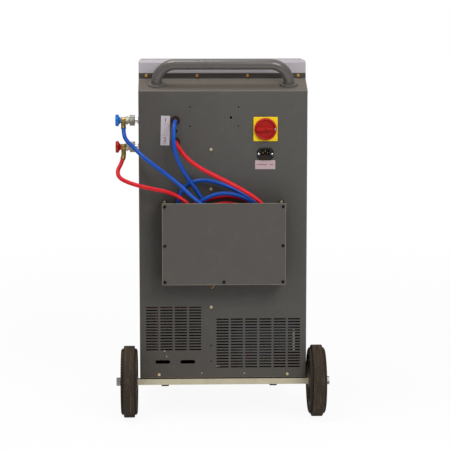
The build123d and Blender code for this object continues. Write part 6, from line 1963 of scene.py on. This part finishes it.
class KeySettings(bpy.types.PropertyGroup):
    """Spacing of the membrane's keys."""

    pitch_x: length("Column pitch", "Distance between the keys' columns", 0.022)
    pitch_y: length("Row pitch", "Distance between the keys' rows", 0.018)


class CoverSettings(bpy.types.PropertyGroup):
    """Spacing of the bottles in the front cover's bay."""

    bottle_pitch: length("Bottle pitch", "Distance between the bottles", 0.1)


class InteriorSettings(bpy.types.PropertyGroup):
    """Sizes of what shows through the vents."""

    wire_radius: length("Wire radius", "Radius of each wire on the pump", 0.0022)


class StageSettings(bpy.types.PropertyGroup):
    """Lights and floor round the part."""

    ambient: FloatProperty(
        name="Ambient", description="Strength of the white light from all sides", default=0.44, min=0.0, max=4.0
    )
    floor_radius: length("Floor radius", "Radius of the pale floor", 4.0, top=40.0)
    floor_shade: FloatProperty(
        name="Floor shade", description="How much of the shadow shows on the floor", default=0.07, min=0.0, max=1.0,
        subtype="FACTOR",
    )
    key_power: FloatProperty(
        name="Key power", description="Power of the key light", default=64.0, min=0.0, subtype="POWER", unit="POWER"
    )
    key_place: FloatVectorProperty(
        name="Key place", description="Place of the key light", default=(1.5, -3.2, 2.7), subtype="XYZ"
    )
    top_power: FloatProperty(
        name="Top power", description="Power of the light above", default=34.0, min=0.0, subtype="POWER", unit="POWER"
    )
    top_place: FloatVectorProperty(
        name="Top place", description="Place of the light above", default=(-0.6, -0.6, 3.2), subtype="XYZ"
    )


def build_solids(settings):
    """Finishes of the solids themselves."""
    finish_solids()


class Builder:
    """What the build operators share: each runs its step."""

    bl_options = {"REGISTER", "UNDO"}
    step = None
    group = ""

    def execute(self, context):
        settings = getattr(context.scene, self.group) if self.group else None
        type(self).step(settings)
        return {"FINISHED"}


class STATION_OT_solids(Builder, bpy.types.Operator):
    """Give every solid its finish"""

    bl_idname = "station.solids"
    bl_label = "Finish Solids"
    step = build_solids


class STATION_OT_hoses(Builder, bpy.types.Operator):
    """Lay the two service hoses with their ferrules"""

    bl_idname = "station.hoses"
    bl_label = "Lay Hoses"
    step = build_hoses
    group = "station_hoses"


class STATION_OT_couplers(Builder, bpy.types.Operator):
    """Build the quick couplers' knobs, sleeves and collars"""

    bl_idname = "station.couplers"
    bl_label = "Build Couplers"
    step = build_couplers
    group = "station_couplers"


class STATION_OT_switch(Builder, bpy.types.Operator):
    """Build the main switch's knob and marks"""

    bl_idname = "station.switch"
    bl_label = "Build Switch"
    step = build_switch
    group = "station_switch"


class STATION_OT_inlet(Builder, bpy.types.Operator):
    """Build the mains inlet's pins, rim and screws"""

    bl_idname = "station.inlet"
    bl_label = "Build Inlet"
    step = build_inlet
    group = "station_inlet"


class STATION_OT_fasteners(Builder, bpy.types.Operator):
    """Build the rivets and the leaning screw"""

    bl_idname = "station.fasteners"
    bl_label = "Build Fasteners"
    step = build_fasteners
    group = "station_fasteners"


class STATION_OT_labels(Builder, bpy.types.Operator):
    """Build the plain labels"""

    bl_idname = "station.labels"
    bl_label = "Build Labels"
    step = build_labels
    group = "station_labels"


class STATION_OT_handle(Builder, bpy.types.Operator):
    """Build the handle's weld beads"""

    bl_idname = "station.handle"
    bl_label = "Build Handle Welds"
    step = build_handle
    group = "station_handle"


class STATION_OT_condenser(Builder, bpy.types.Operator):
    """Build the condenser's fins, tubes and frame"""

    bl_idname = "station.condenser"
    bl_label = "Build Condenser"
    step = build_condenser
    group = "station_condenser"


class STATION_OT_wheels(Builder, bpy.types.Operator):
    """Build the tyres' ribs and tread blocks"""

    bl_idname = "station.wheels"
    bl_label = "Build Tyre Detail"
    step = build_wheels
    group = "station_wheels"


class STATION_OT_gauges(Builder, bpy.types.Operator):
    """Build the gauges' dials and rims"""

    bl_idname = "station.gauges"
    bl_label = "Build Gauges"
    step = build_gauges
    group = "station_gauges"


class STATION_OT_display(Builder, bpy.types.Operator):
    """Build the display's screen"""

    bl_idname = "station.display"
    bl_label = "Build Display"
    step = build_display
    group = "station_display"


class STATION_OT_keys(Builder, bpy.types.Operator):
    """Build the membrane's keys and the push keys' rims"""

    bl_idname = "station.keys"
    bl_label = "Build Keys"
    step = build_keys
    group = "station_keys"


class STATION_OT_cover(Builder, bpy.types.Operator):
    """Build the details of the bottles in the front cover"""

    bl_idname = "station.cover"
    bl_label = "Build Cover Detail"
    step = build_cover
    group = "station_cover"


class STATION_OT_interior(Builder, bpy.types.Operator):
    """Build what shows through the vents"""

    bl_idname = "station.interior"
    bl_label = "Build Interior"
    step = build_interior
    group = "station_interior"


class STATION_OT_stage(Builder, bpy.types.Operator):
    """Set up the camera, the floor and the lights"""

    bl_idname = "station.stage"
    bl_label = "Set Up Stage"
    step = build_stage
    group = "station_stage"


SETTINGS = {
    "station_hoses": HoseSettings,
    "station_couplers": CouplerSettings,
    "station_switch": SwitchSettings,
    "station_inlet": InletSettings,
    "station_fasteners": FastenerSettings,
    "station_labels": LabelSettings,
    "station_handle": HandleSettings,
    "station_condenser": CondenserSettings,
    "station_wheels": WheelSettings,
    "station_gauges": GaugeSettings,
    "station_display": DisplaySettings,
    "station_keys": KeySettings,
    "station_cover": CoverSettings,
    "station_interior": InteriorSettings,
    "station_stage": StageSettings,
}
OPERATORS = (
    STATION_OT_stage, STATION_OT_solids, STATION_OT_hoses, STATION_OT_couplers, STATION_OT_switch,
    STATION_OT_inlet, STATION_OT_fasteners, STATION_OT_labels, STATION_OT_handle, STATION_OT_condenser,
    STATION_OT_wheels, STATION_OT_gauges, STATION_OT_display, STATION_OT_keys, STATION_OT_cover,
    STATION_OT_interior,
)


class STATION_PT_main(bpy.types.Panel):
    """Steps and sizes of the recharge station"""

    bl_idname = "STATION_PT_main"
    bl_label = "Recharge Station"
    bl_space_type = "VIEW_3D"
    bl_region_type = "UI"
    bl_category = "Station"

    def draw(self, context):
        for operator in OPERATORS:
            box = self.layout.box()
            box.operator(operator.bl_idname)
            if operator.group:
                settings = getattr(context.scene, operator.group)
                for name in SETTINGS[operator.group].__annotations__:
                    box.prop(settings, name)


def register():
    for kind in (*SETTINGS.values(), *OPERATORS, STATION_PT_main):
        bpy.utils.register_class(kind)
    for name, kind in SETTINGS.items():
        setattr(bpy.types.Scene, name, PointerProperty(type=kind))


def unregister():
    for name in SETTINGS:
        delattr(bpy.types.Scene, name)
    for kind in reversed((*SETTINGS.values(), *OPERATORS, STATION_PT_main)):
        bpy.utils.unregister_class(kind)


def main():
    """Builds every piece in order."""
    register()
    for operator in OPERATORS:
        kind, step = operator.bl_idname.split(".")
        getattr(getattr(bpy.ops, kind), step)()
    bpy.context.view_layer.update()


if __name__ == "__main__":
    main()
